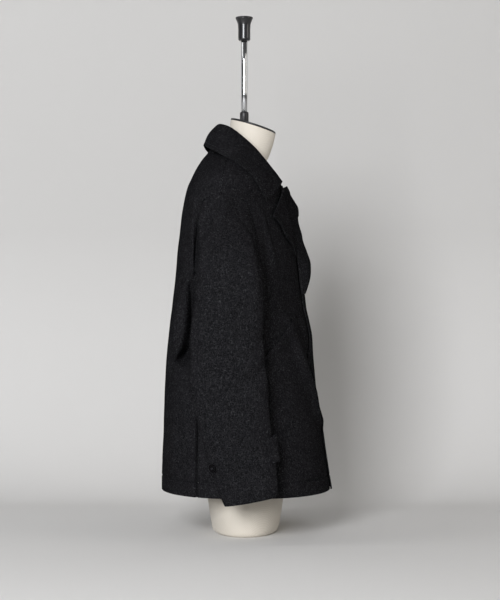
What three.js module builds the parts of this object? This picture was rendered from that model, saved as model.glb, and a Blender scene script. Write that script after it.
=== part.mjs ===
// A short wool coat on a limbless dress form. Millimetres, +Z up, the front faces -Y, the wearer's right is -X.
// The origin is the centre of the form's flat underside.
import * as THREE from "three";

// Cloth and seams
const WALL = 3;
const SEAM_GAP = 0.35;
const LAY_GAP = 0.4;
const OVERLAP_GAP = 1.4;
const HEM_Z = 84;
const UNDERARM_Z = 520;
const ARMHOLE_TOP_Z = 675;
const NECK_POINT_Z = 768;
const NECK_BACK_Z = 791;
const OVERLAP_X = 38;
const BREAK_Z = 476;
const GORGE_Z = 700;

// Body of the coat: one row per level, widest point at midY, front and back are the middle lines.
const BODY = [
  { z: 84, half: 224, midY: 0, front: -175, back: 168, frontPower: 2.2, backPower: 2.2 },
  { z: 150, half: 222, midY: 0, front: -165, back: 167, frontPower: 2.1, backPower: 2.2 },
  { z: 206, half: 220, midY: 0, front: -157, back: 165, frontPower: 2.0, backPower: 2.2 },
  { z: 261, half: 219, midY: 0, front: -147, back: 163, frontPower: 1.9, backPower: 2.2 },
  { z: 316, half: 218, midY: 2, front: -141, back: 161, frontPower: 1.8, backPower: 2.2 },
  { z: 353, half: 217, midY: 4, front: -137, back: 159, frontPower: 1.75, backPower: 2.2 },
  { z: 390, half: 216, midY: 6, front: -135, back: 155, frontPower: 1.7, backPower: 2.2 },
  { z: 427, half: 215, midY: 8, front: -128.5, back: 151, frontPower: 1.65, backPower: 2.2 },
  { z: 452, half: 214, midY: 10, front: -123, back: 147.5, frontPower: 1.6, backPower: 2.2 },
  { z: 476, half: 214, midY: 12, front: -120.5, back: 145, frontPower: 1.55, backPower: 2.2 },
  { z: 519, half: 213, midY: 16, front: -113, back: 140, frontPower: 1.5, backPower: 2.2 },
  { z: 556, half: 212, midY: 20, front: -107, back: 137, frontPower: 1.45, backPower: 2.2 },
  { z: 611, half: 211, midY: 28, front: -98, back: 131, frontPower: 1.4, backPower: 2.2 },
  { z: 642, half: 211, midY: 36, front: -94, back: 128, frontPower: 1.4, backPower: 2.1 },
  { z: 675, half: 210, midY: 45, front: -91, back: 122, frontPower: 1.4, backPower: 2.0 },
  { z: 698, half: 205, midY: 43, front: -87, back: 115.5, frontPower: 1.45, backPower: 2.0 },
  { z: 712, half: 198, midY: 40, front: -83, back: 109, frontPower: 1.5, backPower: 2.0 },
  { z: 723, half: 186, midY: 38, front: -78, back: 104, frontPower: 1.5, backPower: 2.0 },
  { z: 734, half: 168, midY: 36, front: -70, back: 98.5, frontPower: 1.5, backPower: 2.0 },
  { z: 745, half: 145, midY: 33, front: -60, back: 92, frontPower: 1.6, backPower: 2.0 },
  { z: 756, half: 115, midY: 26, front: -46, back: 85, frontPower: 1.7, backPower: 2.0 },
  { z: 768, half: 79, midY: 15, front: -30, back: 76, frontPower: 1.8, backPower: 2.0 },
  { z: 780, half: 62, midY: 20, front: -20, back: 68, frontPower: 2, backPower: 2.0 },
  { z: 793, half: 52, midY: 30, front: 0, back: 58, frontPower: 2, backPower: 2.0 },
];

// Side-back seam below the underarm, and the two sides of the armhole above it, as Y by level.
const SIDE_SEAM = [
  { z: 84, y: 92 },
  { z: 300, y: 92 },
  { z: 400, y: 88 },
  { z: 470, y: 66 },
  { z: 520, y: 38 },
];
const ARMHOLE_FRONT = [
  { z: 520, y: 38 },
  { z: 523, y: 20 },
  { z: 532, y: 2 },
  { z: 550, y: -12 },
  { z: 580, y: -20 },
  { z: 610, y: -22 },
  { z: 640, y: -15 },
  { z: 658, y: -4 },
  { z: 668, y: 12 },
  { z: 675, y: 45 },
];
const ARMHOLE_BACK = [
  { z: 520, y: 38 },
  { z: 523, y: 54 },
  { z: 532, y: 66 },
  { z: 550, y: 76 },
  { z: 580, y: 84 },
  { z: 610, y: 87 },
  { z: 640, y: 87 },
  { z: 658, y: 82 },
  { z: 668, y: 70 },
  { z: 675, y: 45 },
];

// Lapel fold of the right front: level and X, from the break up to the neck point.
const ROLL_LINE = [
  { z: 476, x: 38 },
  { z: 564, x: 0 },
  { z: 628, x: -27 },
  { z: 688, x: -53 },
  { z: 700, x: -58 },
  { z: 723, x: -68 },
  { z: 741, x: -75 },
  { z: 756, x: -79 },
  { z: 768, x: -79 },
];
// Neck seam of the back: level and half width.
const BACK_NECK = [
  { z: 768, x: 79 },
  { z: 776, x: 66 },
  { z: 784, x: 46 },
  { z: 791, x: 14 },
];

// Outer edge of the lapel: level and Y, with the point at z 636 and the notch at z 687.
const LAPEL_EDGE = [
  { z: 556, y: -104 },
  { z: 576, y: -95 },
  { z: 593, y: -80 },
  { z: 618, y: -67 },
  { z: 636, y: -53 },
  { z: 650, y: -59 },
  { z: 670, y: -67 },
  { z: 687, y: -73 },
  { z: 698, y: -76 },
];
// Left lapel, which stands forward of the front: reach from its fold, and how far its edge and middle stand off.
const LEFT_LAPEL = [
  { z: 478, reach: 8, edge: 0.4, bulge: 1 },
  { z: 488, reach: 20, edge: 4, bulge: 3 },
  { z: 501, reach: 34, edge: 9, bulge: 5 },
  { z: 521, reach: 48, edge: 22, bulge: 6 },
  { z: 540, reach: 54, edge: 30, bulge: 5 },
  { z: 559, reach: 58, edge: 33, bulge: 4 },
  { z: 578, reach: 62, edge: 37, bulge: 3 },
  { z: 597, reach: 66, edge: 44, bulge: 3 },
  { z: 616, reach: 70, edge: 48, bulge: 3 },
  { z: 634, reach: 77, edge: 56, bulge: 3 },
  { z: 640, reach: 78, edge: 59, bulge: 3 },
  { z: 650, reach: 70, edge: 56, bulge: 2 },
  { z: 670, reach: 50, edge: 46, bulge: 2 },
  { z: 687, reach: 33, edge: 31, bulge: 1 },
  { z: 698, reach: 15, edge: 17, bulge: 0 },
];

// Collar, right half, from the middle of the back to the front end: level of the neck seam, fold and outer edge.
const COLLAR = [
  { neckZ: 791, foldX: 0, foldY: 52.6, foldZ: 828, edgeX: 0, edgeY: 84, edgeZ: 784 },
  { neckZ: 787.3, foldX: 30, foldY: 47, foldZ: 826, edgeX: 40, edgeY: 82.5, edgeZ: 782 },
  { neckZ: 782, foldX: 54, foldY: 33, foldZ: 820, edgeX: 78, edgeY: 75, edgeZ: 775 },
  { neckZ: 775, foldX: 67, foldY: 17, foldZ: 809, edgeX: 114, edgeY: 60, edgeZ: 766 },
  { neckZ: 768, foldX: 73, foldY: 1, foldZ: 796, edgeX: 142, edgeY: 33.6, edgeZ: 750 },
  { neckZ: 756, foldX: 75, foldY: -20, foldZ: 777, edgeX: 158, edgeY: 5, edgeZ: 730.5 },
  { neckZ: 741, foldX: 74, foldY: -41, foldZ: 753, edgeX: 156, edgeY: -14.5, edgeZ: 712 },
  { neckZ: 724, foldX: 69, foldY: -62, foldZ: 727, edgeX: 146, edgeY: -29, edgeZ: 692 },
  { neckZ: 706, foldX: 61, foldY: -78, foldZ: 706, edgeX: 128, edgeY: -45, edgeZ: 664 },
];

// Right sleeve below its head: level of the middle, front and back edges, centre X, half thickness, tilt, power.
const SLEEVE = [
  { z: 500, front: -38, back: 93, x: -249, thick: 30, tilt: 0, power: 2.0 },
  { z: 470, front: -39, back: 94.5, x: -250, thick: 30, tilt: 0, power: 2.0 },
  { z: 440, front: -38, back: 98, x: -251, thick: 31, tilt: 0, power: 2.0 },
  { z: 410, front: -37, back: 101, x: -252, thick: 31, tilt: 0.02, power: 2.0 },
  { z: 380, front: -38, back: 102.5, x: -253, thick: 31, tilt: 0.05, power: 2.0 },
  { z: 354, front: -40, back: 103, x: -254, thick: 30, tilt: 0.08, power: 1.95 },
  { z: 315, front: -43, back: 101.5, x: -255, thick: 30, tilt: 0.11, power: 1.9 },
  { z: 280, front: -46, back: 98, x: -256, thick: 29, tilt: 0.14, power: 1.9 },
  { z: 240, front: -49, back: 88, x: -257, thick: 28, tilt: 0.16, power: 1.85 },
  { z: 200, front: -54, back: 77, x: -258, thick: 27, tilt: 0.17, power: 1.8 },
  { z: 160, front: -60, back: 67, x: -259, thick: 26, tilt: 0.18, power: 1.8 },
  { z: 120, front: -64, back: 51, x: -260, thick: 25, tilt: 0.18, power: 1.75 },
  { z: 96, front: -66, back: 42, x: -260, thick: 24, tilt: 0.18, power: 1.75 },
  { z: 82, front: -62, back: 36, x: -260, thick: 23, tilt: 0.18, power: 1.75 },
];
const SLEEVE_COLUMNS = 24;
const SLEEVE_HEAD_ROWS = 8;

// Largest folds: side (-1 is the wearer's right), width, height outward, and the path as Y and level.
const FOLDS = [
  { name: "front ridge", side: -1, width: 16, height: 9, path: [[-92, 415], [-118, 340], [-138, 275], [-150, 225]] },
  { name: "front ridge left", side: 1, width: 18, height: 7, path: [[-90, 405], [-116, 335], [-140, 240]] },
  { name: "back hollow", side: -1, width: 20, height: -9, path: [[112, 470], [116, 400], [112, 330]] },
  { name: "back hollow left", side: 1, width: 22, height: -8, path: [[114, 460], [118, 390], [112, 320]] },
  { name: "back bulge", side: -1, width: 16, height: 4, path: [[128, 440], [134, 360], [130, 280]] },
  { name: "back armhole", side: -1, width: 10, height: 4, path: [[94, 668], [100, 630], [102, 590]] },
  { name: "back armhole left", side: 1, width: 10, height: 4, path: [[94, 664], [101, 620], [103, 580]] },
  { name: "chest", side: -1, width: 9, height: 4, path: [[-34, 640], [-48, 590], [-62, 540]] },
  { name: "chest left", side: 1, width: 10, height: 4, path: [[-36, 630], [-50, 580], [-60, 530]] },
];

// Dress form, from the underside to the top of the neck.
const TORSO = [
  { z: 0, half: 146, front: -64, back: 60, tilt: 0 },
  { z: 4, half: 152, front: -69, back: 65, tilt: 0 },
  { z: 20, half: 157, front: -73, back: 68, tilt: 0 },
  { z: 52, half: 162, front: -78, back: 73, tilt: 0 },
  { z: 120, half: 165, front: -84, back: 80, tilt: 0 },
  { z: 200, half: 158, front: -82, back: 80, tilt: 0 },
  { z: 300, half: 145, front: -74, back: 72, tilt: 0 },
  { z: 400, half: 148, front: -76, back: 82, tilt: 0 },
  { z: 500, half: 158, front: -80, back: 98, tilt: 0 },
  { z: 580, half: 163, front: -78, back: 106, tilt: 0 },
  { z: 640, half: 167, front: -68, back: 106, tilt: 0 },
  { z: 680, half: 173, front: -58, back: 104, tilt: 0 },
  { z: 700, half: 174, front: -54, back: 100, tilt: 0 },
  { z: 712, half: 170, front: -50, back: 97, tilt: 0 },
  { z: 723, half: 163, front: -44, back: 96, tilt: 0 },
  { z: 734, half: 148, front: -43, back: 91, tilt: 0 },
  { z: 742, half: 130.6, front: -42, back: 86, tilt: 0 },
  { z: 749, half: 107.6, front: -42, back: 77.5, tilt: 0.03 },
  { z: 757, half: 77, front: -45, back: 59, tilt: 0.1 },
  { z: 768, half: 56, front: -50, back: 42, tilt: 0.17 },
  { z: 785, half: 49.5, front: -55, back: 35.5, tilt: 0.25 },
  { z: 803, half: 48.5, front: -60, back: 31, tilt: 0.3 },
  { z: 822, half: 48, front: -64, back: 27.5, tilt: 0.313 },
];
const TORSO_COLUMNS = 28;
const NECK = { y: -18.25, z: 822.35, radius: 48, plate: 4, tilt: 0.313 };
const SOCKET = { radius: 9, gap: 0.3, top: 853 };
const ROD = { radius: 6.5, top: 999 };
const KNOB = [
  { r: 10.5, z: 999.3 },
  { r: 12.5, z: 1001 },
  { r: 12.5, z: 1022 },
  { r: 13.2, z: 1034 },
  { r: 16.5, z: 1042 },
  { r: 18, z: 1045 },
  { r: 17.6, z: 1047.4 },
  { r: 15, z: 1048.3 },
];
const TAB = { bottom: 147, top: 196, peak: 5, innerAngle: -70, outerAngle: 37, thick: 3, lift: 6, clear: -0.2 };
const BUTTON = { z: 158, angle: 153, thick: 3, gap: 0.5 };
const BUTTON_PROFILE = [
  { r: 8.2, z: 0 },
  { r: 9, z: 0.8 },
  { r: 9, z: 2.2 },
  { r: 8, z: 3 },
  { r: 6.4, z: 3 },
  { r: 5.6, z: 2.3 },
];
const POCKET = { topY: -89, topZ: 428, lowY: 2, lowZ: 320, width: 26, thick: 2.4 };

// Linear value of one named column at a level.
function valueAt(rows, z, name) {
  if (z <= rows[0].z) return rows[0][name];
  for (let i = 1; i < rows.length; i++) {
    if (z <= rows[i].z) {
      const f = (z - rows[i - 1].z) / (rows[i].z - rows[i - 1].z);
      return rows[i - 1][name] + f * (rows[i][name] - rows[i - 1][name]);
    }
  }
  return rows[rows.length - 1][name];
}

// Smooth value (cubic through the rows with limited slopes).
function smoothAt(rows, z, name) {
  const n = rows.length;
  if (z <= rows[0].z) return rows[0][name];
  if (z >= rows[n - 1].z) return rows[n - 1][name];
  let i = 1;
  while (z > rows[i].z) i++;
  const slope = (k) => (rows[k][name] - rows[k - 1][name]) / (rows[k].z - rows[k - 1].z);
  const tangent = (k) => {
    if (k === 0) return slope(1);
    if (k === n - 1) return slope(n - 1);
    const a = slope(k);
    const b = slope(k + 1);
    return a * b <= 0 ? 0 : (2 * a * b) / (a + b);
  };
  const h = rows[i].z - rows[i - 1].z;
  const t = (z - rows[i - 1].z) / h;
  const t2 = t * t;
  const t3 = t2 * t;
  return (
    (2 * t3 - 3 * t2 + 1) * rows[i - 1][name] +
    (t3 - 2 * t2 + t) * h * tangent(i - 1) +
    (3 * t2 - 2 * t3) * rows[i][name] +
    (t3 - t2) * h * tangent(i)
  );
}

function smoothStep(a, b, v) {
  const t = Math.min(1, Math.max(0, (v - a) / (b - a)));
  return t * t * (3 - 2 * t);
}

// Half section of the coat at one level: points from the middle front to the middle back with the girth so far.
const sectionStore = new Map();
function section(z) {
  const key = Math.round(z * 50);
  if (sectionStore.has(key)) return sectionStore.get(key);
  const half = smoothAt(BODY, z, "half");
  const midY = smoothAt(BODY, z, "midY");
  const front = midY - smoothAt(BODY, z, "front");
  const back = smoothAt(BODY, z, "back") - midY;
  const frontPower = smoothAt(BODY, z, "frontPower");
  const backPower = smoothAt(BODY, z, "backPower");
  const points = [];
  let girth = 0;
  for (let i = 0; i <= 240; i++) {
    const angle = (Math.PI * i) / 240;
    const c = Math.cos(angle);
    const power = c > 0 ? frontPower : backPower;
    const depth = c > 0 ? front : back;
    const x = half * Math.pow(Math.abs(Math.sin(angle)), 2 / power);
    const y = midY - Math.sign(c) * depth * Math.pow(Math.abs(c), 2 / power);
    if (i > 0) girth += Math.hypot(x - points[i - 1].x, y - points[i - 1].y);
    points.push({ x, y, girth });
  }
  const made = { points, girth };
  sectionStore.set(key, made);
  return made;
}

function girthAtY(z, y) {
  const { points } = section(z);
  for (let i = 1; i < points.length; i++) {
    if (points[i].y >= y) {
      const f = (y - points[i - 1].y) / Math.max(1e-9, points[i].y - points[i - 1].y);
      return points[i - 1].girth + Math.max(0, f) * (points[i].girth - points[i - 1].girth);
    }
  }
  return points[points.length - 1].girth;
}

// Girth from the middle front to a given X on the front, with the sign of the side.
function girthAtFrontX(z, x) {
  const { points } = section(z);
  const want = Math.abs(x);
  for (let i = 1; i < points.length; i++) {
    if (points[i].x >= want) {
      const f = (want - points[i - 1].x) / Math.max(1e-9, points[i].x - points[i - 1].x);
      return Math.sign(x) * (points[i - 1].girth + f * (points[i].girth - points[i - 1].girth));
    }
  }
  return Math.sign(x) * girthAtY(z, smoothAt(BODY, z, "midY"));
}

function girthAtBackX(z, wanted) {
  const { points, girth } = section(z);
  const x = Math.min(wanted, smoothAt(BODY, z, "half") - 0.2);
  for (let i = points.length - 2; i >= 0; i--) {
    if (points[i].x >= x) {
      const f = (x - points[i + 1].x) / Math.max(1e-9, points[i].x - points[i + 1].x);
      return points[i + 1].girth + f * (points[i].girth - points[i + 1].girth);
    }
  }
  return girth;
}

// Point of the plain form at a level and a girth measured on one side from the middle front.
function plainPoint(side, z, along) {
  const { points, girth } = section(z);
  let s = Math.abs(along);
  let sign = side * (along < 0 ? -1 : 1);
  if (s > girth) {
    s = 2 * girth - s;
    sign = -sign;
  }
  let lo = 0;
  let hi = points.length - 1;
  while (hi - lo > 1) {
    const mid = (lo + hi) >> 1;
    if (points[mid].girth <= s) lo = mid;
    else hi = mid;
  }
  const f = (s - points[lo].girth) / Math.max(1e-9, points[hi].girth - points[lo].girth);
  const x = points[lo].x + f * (points[hi].x - points[lo].x);
  const y = points[lo].y + f * (points[hi].y - points[lo].y);
  return new THREE.Vector3(sign * x, y, z);
}

function plainNormal(side, z, along) {
  const reach = 5;
  const a = plainPoint(side, z, along + reach).sub(plainPoint(side, z, along - reach));
  const rise = 4;
  const girth = section(z).girth;
  const share = along / girth;
  const up = plainPoint(side, z + rise, share * section(z + rise).girth);
  const down = plainPoint(side, z - rise, share * section(z - rise).girth);
  const n = new THREE.Vector3().crossVectors(up.sub(down), a).normalize();
  return side < 0 ? n : n.negate();
}

// Fold paths turned into points on the form once.
const foldPaths = FOLDS.map((fold) => ({
  ...fold,
  points: fold.path.map(([y, z]) => plainPoint(fold.side, z, girthAtY(z, y))),
}));

function foldHeight(p) {
  let sum = 0;
  for (const fold of foldPaths) {
    if (p.x * fold.side < 0) continue;
    let best = Infinity;
    let share = 0;
    for (let i = 1; i < fold.points.length; i++) {
      const a = fold.points[i - 1];
      const ab = fold.points[i].clone().sub(a);
      const t = Math.min(1, Math.max(0, p.clone().sub(a).dot(ab) / ab.lengthSq()));
      const d = p.distanceTo(a.clone().addScaledVector(ab, t));
      if (d < best) {
        best = d;
        share = (i - 1 + t) / (fold.points.length - 1);
      }
    }
    const ends = 0.35 + 0.65 * Math.sin(Math.PI * (0.12 + 0.76 * share));
    sum += fold.height * ends * Math.exp(-Math.pow(best / fold.width, 2));
  }
  return sum;
}

// Point of the coat at a level and girth, moved out by a distance from its outer face.
function coatPoint(side, z, along, out) {
  const p = plainPoint(side, z, along);
  const n = plainNormal(side, z, along);
  return p.addScaledVector(n, foldHeight(p) + out);
}

// Closed solid from two grids of points: outer[row][column] and inner[row][column].
function sheetSolid(outer, inner, ring) {
  const rows = outer.length;
  const columns = outer[0].length;
  const flat = [];
  for (const grid of [outer, inner]) {
    for (const row of grid) for (const p of row) flat.push(p.x, p.y, p.z);
  }
  const at = (k, i, j) => k * rows * columns + i * columns + (j % columns);
  const index = [];
  const quad = (a, b, c, d) => index.push(a, b, c, a, c, d);
  const last = ring ? columns : columns - 1;
  for (let i = 0; i < rows - 1; i++) {
    for (let j = 0; j < last; j++) {
      quad(at(0, i, j), at(0, i, j + 1), at(0, i + 1, j + 1), at(0, i + 1, j));
      quad(at(1, i, j), at(1, i + 1, j), at(1, i + 1, j + 1), at(1, i, j + 1));
    }
  }
  for (let j = 0; j < last; j++) {
    quad(at(0, 0, j), at(1, 0, j), at(1, 0, j + 1), at(0, 0, j + 1));
    quad(at(0, rows - 1, j), at(0, rows - 1, j + 1), at(1, rows - 1, j + 1), at(1, rows - 1, j));
  }
  if (!ring) {
    for (let i = 0; i < rows - 1; i++) {
      quad(at(0, i, 0), at(0, i + 1, 0), at(1, i + 1, 0), at(1, i, 0));
      quad(at(0, i, columns - 1), at(1, i, columns - 1), at(1, i + 1, columns - 1), at(0, i + 1, columns - 1));
    }
  }
  const geometry = new THREE.BufferGeometry();
  geometry.setAttribute("position", new THREE.Float32BufferAttribute(flat, 3));
  geometry.setIndex(index);
  return faceOut(geometry);
}

// Turns the faces of a closed geometry outward.
function faceOut(geometry) {
  const p = geometry.getAttribute("position");
  const index = Array.from(geometry.getIndex().array);
  let volume = 0;
  const a = new THREE.Vector3();
  const b = new THREE.Vector3();
  const c = new THREE.Vector3();
  for (let i = 0; i < index.length; i += 3) {
    a.fromBufferAttribute(p, index[i]);
    b.fromBufferAttribute(p, index[i + 1]);
    c.fromBufferAttribute(p, index[i + 2]);
    volume += a.dot(b.cross(c));
  }
  if (volume < 0) {
    for (let i = 0; i < index.length; i += 3) [index[i + 1], index[i + 2]] = [index[i + 2], index[i + 1]];
    geometry.setIndex(index);
  }
  geometry.computeVertexNormals();
  return geometry;
}

const root = new THREE.Group();
root.name = "coat_on_dress_form";
function addMesh(name, geometry, colour, roughness, metalness) {
  const material = new THREE.MeshStandardMaterial({ color: colour, roughness, metalness });
  const mesh = new THREE.Mesh(geometry, material);
  mesh.name = name;
  root.add(mesh);
  return mesh;
}
const WOOL = 0x3d3f47;
const WOOL_DARK = 0x34363d;

// Levels of the panel rows.
const LOWER_LEVELS = [84, 125, 170, 215, 260, 305, 350, 395, 440, 476, 500];
const ARM_LEVELS = [520, 523, 532, 550, 566, 586, 610, 635, 658, 668, 675];
const SHOULDER_LEVELS = [688, 700, 710, 719, 728, 737, 746, 755, 762, 768];
const NECK_LEVELS = [776, 784, 791];

function seamY(z, back) {
  if (z <= UNDERARM_Z) return smoothAt(SIDE_SEAM, z, "y");
  return valueAt(back ? ARMHOLE_BACK : ARMHOLE_FRONT, z, "y");
}

function backEdge(z) {
  if (z > NECK_POINT_Z) return girthAtBackX(z, valueAt(BACK_NECK, z, "x"));
  if (z >= ARMHOLE_TOP_Z) return girthAtY(z, smoothAt(BODY, z, "midY")) + SEAM_GAP / 2;
  return girthAtY(z, seamY(z, true)) + SEAM_GAP / 2;
}

function frontOuterEdge(z) {
  if (z >= ARMHOLE_TOP_Z) return girthAtY(z, smoothAt(BODY, z, "midY")) - SEAM_GAP / 2;
  return girthAtY(z, seamY(z, false)) - SEAM_GAP / 2;
}

function rollX(z) {
  return z <= BREAK_Z ? OVERLAP_X : smoothAt(ROLL_LINE, z, "x");
}

function frontEdge(z) {
  const x = rollX(z);
  return x > 0 ? -girthAtFrontX(z, x) : girthAtFrontX(z, -x);
}

// Extra distance of the left front where it lies over the right one.
function leftLift(along, z) {
  const across = 1 - smoothStep(44, 66, along);
  const up = 1 - smoothStep(585, 650, z);
  return (WALL + OVERLAP_GAP) * across * up;
}

// Rows of points between two edges, closer together near the first edge.
function panelGrid(levels, columns, from, to, pointOf) {
  return levels.map((z) => {
    const a = from(z);
    const b = to(z);
    const row = [];
    for (let j = 0; j < columns; j++) {
      const t = j / (columns - 1);
      row.push(pointOf(z, a + (b - a) * (0.55 * t + 0.45 * t * t)));
    }
    return row;
  });
}

function buildBack() {
  const levels = [...LOWER_LEVELS, ...ARM_LEVELS, ...SHOULDER_LEVELS, ...NECK_LEVELS];
  const grid = (out) =>
    levels.map((z) => {
      const girth = section(z).girth;
      const start = backEdge(z);
      const row = [];
      for (let j = 0; j < 19; j++) row.push(coatPoint(-1, z, start + ((2 * girth - 2 * start) * j) / 18, out));
      return row;
    });
  return sheetSolid(grid(0), grid(-WALL), false);
}

function buildFront(side) {
  const levels = [...LOWER_LEVELS, ...ARM_LEVELS, ...SHOULDER_LEVELS];
  const lift = (s, z) => (side > 0 ? leftLift(s, z) : 0);
  const grid = (out) => {
    return panelGrid(levels, 16, frontEdge, frontOuterEdge, (z, s) => coatPoint(side, z, s, out + lift(s, z)));
  };
  return sheetSolid(grid(0), grid(-WALL), false);
}

// Armhole outline as a closed ring of girth and level, from the front round the top.
function armholeRing(count) {
  const outline = [];
  for (let i = 0; i < ARMHOLE_FRONT.length; i++) outline.push([ARMHOLE_FRONT[i].z, ARMHOLE_FRONT[i].y]);
  for (let i = ARMHOLE_BACK.length - 2; i > 0; i--) outline.push([ARMHOLE_BACK[i].z, ARMHOLE_BACK[i].y]);
  const centre = [600, 34];
  const ring = [];
  for (let k = 0; k < count; k++) {
    const angle = (2 * Math.PI * k) / count;
    const dz = Math.sin(angle);
    const dy = -Math.cos(angle);
    let best = null;
    for (let i = 0; i < outline.length; i++) {
      const a = outline[i];
      const b = outline[(i + 1) % outline.length];
      const ez = b[0] - a[0];
      const ey = b[1] - a[1];
      const det = dz * -ey - dy * -ez;
      if (Math.abs(det) < 1e-9) continue;
      const rz = a[0] - centre[0];
      const ry = a[1] - centre[1];
      const t = (rz * -ey - ry * -ez) / det;
      const u = (dz * ry - dy * rz) / det;
      if (t > 0 && u >= -1e-6 && u <= 1 + 1e-6 && (best === null || t < best)) best = t;
    }
    const inset = best - SEAM_GAP * 3;
    ring.push({ z: centre[0] + dz * inset, y: centre[1] + dy * inset, angle });
  }
  return ring;
}

// One sleeve point on its own section, angle 0 at the front and 90 degrees on the outer side.
function sleeveSection(row, angle, inward) {
  const half = (row.back - row.front) / 2 - inward;
  const thick = row.thick - inward;
  const c = Math.cos(angle);
  const s = Math.sin(angle);
  const y = (row.front + row.back) / 2 - half * Math.sign(c) * Math.pow(Math.abs(c), 2 / row.power);
  const x = row.x - thick * Math.sign(s) * Math.pow(Math.abs(s), 2 / row.power);
  const z = row.z - row.tilt * (y - (row.front + row.back) / 2);
  return new THREE.Vector3(x, y, z);
}

function hermite(a, ta, b, tb, t) {
  const t2 = t * t;
  const t3 = t2 * t;
  return new THREE.Vector3()
    .addScaledVector(a, 2 * t3 - 3 * t2 + 1)
    .addScaledVector(ta, t3 - 2 * t2 + t)
    .addScaledVector(b, 3 * t2 - 2 * t3)
    .addScaledVector(tb, t3 - t2);
}

function sleeveGrid() {
  const ring = armholeRing(SLEEVE_COLUMNS);
  const head = ring.map((r) => coatPoint(-1, r.z, girthAtY(r.z, r.y), -WALL * 0.8));
  const first = ring.map((r) => sleeveSection(SLEEVE[0], r.angle, 0));
  const rows = [];
  for (let i = 0; i < SLEEVE_HEAD_ROWS; i++) {
    const t = i / SLEEVE_HEAD_ROWS;
    rows.push(
      ring.map((r, k) => {
        const up = Math.max(0, Math.sin(r.angle));
        const low = Math.max(0, -Math.sin(r.angle));
        const span = head[k].distanceTo(first[k]);
        const start = new THREE.Vector3(-0.35 - 0.9 * low - 0.35 * (1 - up - low), 0, -0.95 * up).multiplyScalar(
          Math.max(26, span * 0.8),
        );
        const end = new THREE.Vector3(0, 0, -1).multiplyScalar(Math.max(14, span * 0.75));
        return hermite(head[k], start, first[k], end, t);
      }),
    );
  }
  for (const row of SLEEVE) rows.push(ring.map((r) => sleeveSection(row, r.angle, 0)));
  return rows;
}

// Inner face of a tube grid, by the normal of each point.
function tubeInner(grid, wall) {
  const rows = grid.length;
  const columns = grid[0].length;
  return grid.map((row, i) =>
    row.map((p, j) => {
      const a = grid[Math.min(rows - 1, i + 1)][j].clone().sub(grid[Math.max(0, i - 1)][j]);
      const b = row[(j + 1) % columns].clone().sub(row[(j + columns - 1) % columns]);
      const n = new THREE.Vector3().crossVectors(a, b).normalize();
      return p.clone().addScaledVector(n, wall);
    }),
  );
}

function mirrored(grid) {
  return grid.map((row) => row.map((p) => new THREE.Vector3(-p.x, p.y, p.z)));
}

function gridCentre(row) {
  const c = new THREE.Vector3();
  for (const p of row) c.add(p);
  return c.multiplyScalar(1 / row.length);
}

function buildSleeves() {
  const outer = sleeveGrid();
  let inner = tubeInner(outer, WALL);
  const probe = outer[12];
  const c = gridCentre(probe);
  if (inner[12][0].distanceTo(c) > probe[0].distanceTo(c)) inner = tubeInner(outer, -WALL);
  return { outer, inner };
}

// Y of the lapel's outer edge: smooth below its point, straight from the point to the notch.
function lapelEdgeY(z) {
  if (z >= 636) return valueAt(LAPEL_EDGE, z, "y");
  return smoothAt(LAPEL_EDGE, z, "y");
}

// Lapel: a nose round the edge of the front, then the turned cloth lying on it.
function lapelGrids(side) {
  const levels = side < 0
    ? [556, 562, 569, 576, 585, 593, 606, 618, 628, 636, 645, 655, 668, 680, 690, 698]
    : [479, 488, 500, 515, 530, 548, 564, 580, 595, 610, 624, 636, 645, 655, 668, 680, 690, 698];
  const wallMid = WALL / 2;
  const outerRadius = wallMid + LAY_GAP + WALL;
  const innerRadius = wallMid + LAY_GAP;
  const build = (radius, out) =>
    levels.map((z) => {
      let start = frontEdge(z);
      let startAngle = 0;
      if (side < 0) {
        const clear = rollX(z) + 9;
        start = Math.max(start, clear > 0 ? girthAtFrontX(z, clear) : -girthAtFrontX(z, -clear));
        startAngle = z < 580 ? 60 : 0;
      }
      const reach = side < 0
        ? Math.max(6, girthAtY(z, lapelEdgeY(z)) - start)
        : valueAt(LEFT_LAPEL, z, "reach");
      const row = [];
      for (let k = 0; k < 4; k++) {
        const angle = ((startAngle + ((90 - startAngle) * k) / 4) * Math.PI) / 180;
        const base = side > 0 ? leftLift(start, z) : 0;
        row.push(coatPoint(side, z, start - radius * Math.cos(angle), base - wallMid + radius * Math.sin(angle)));
      }
      for (let k = 0; k < 9; k++) {
        const t = k / 8;
        const s = start + 0.5 + (reach - 0.5) * t;
        let extra = 0;
        if (side > 0) {
          const away = smoothAt(LEFT_LAPEL, z, "edge") * Math.pow(t, 1.15);
          extra = 0.3 * Math.min(1, 6 * t) + away + smoothAt(LEFT_LAPEL, z, "bulge") * Math.sin(Math.PI * t) + leftLift(s, z);
        }
        row.push(coatPoint(side, z, s, LAY_GAP + out + extra));
      }
      return row;
    });
  return { outer: build(outerRadius, WALL), inner: build(innerRadius, 0) };
}

// Point of the neck seam, just past the cut edge of the back or the front.
function neckSeam(side, q, neckZ, out) {
  if (q > 4) return coatPoint(side, neckZ, frontEdge(neckZ) - SEAM_GAP, out);
  const z = neckZ + 1.6 + 3.4 * smoothStep(0.8, 2.4, q);
  if (q < 0.6) return coatPoint(side, z, section(z).girth - 28 * q, out);
  return coatPoint(side, z, girthAtBackX(z, valueAt(BACK_NECK, neckZ, "x")), out);
}

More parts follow.
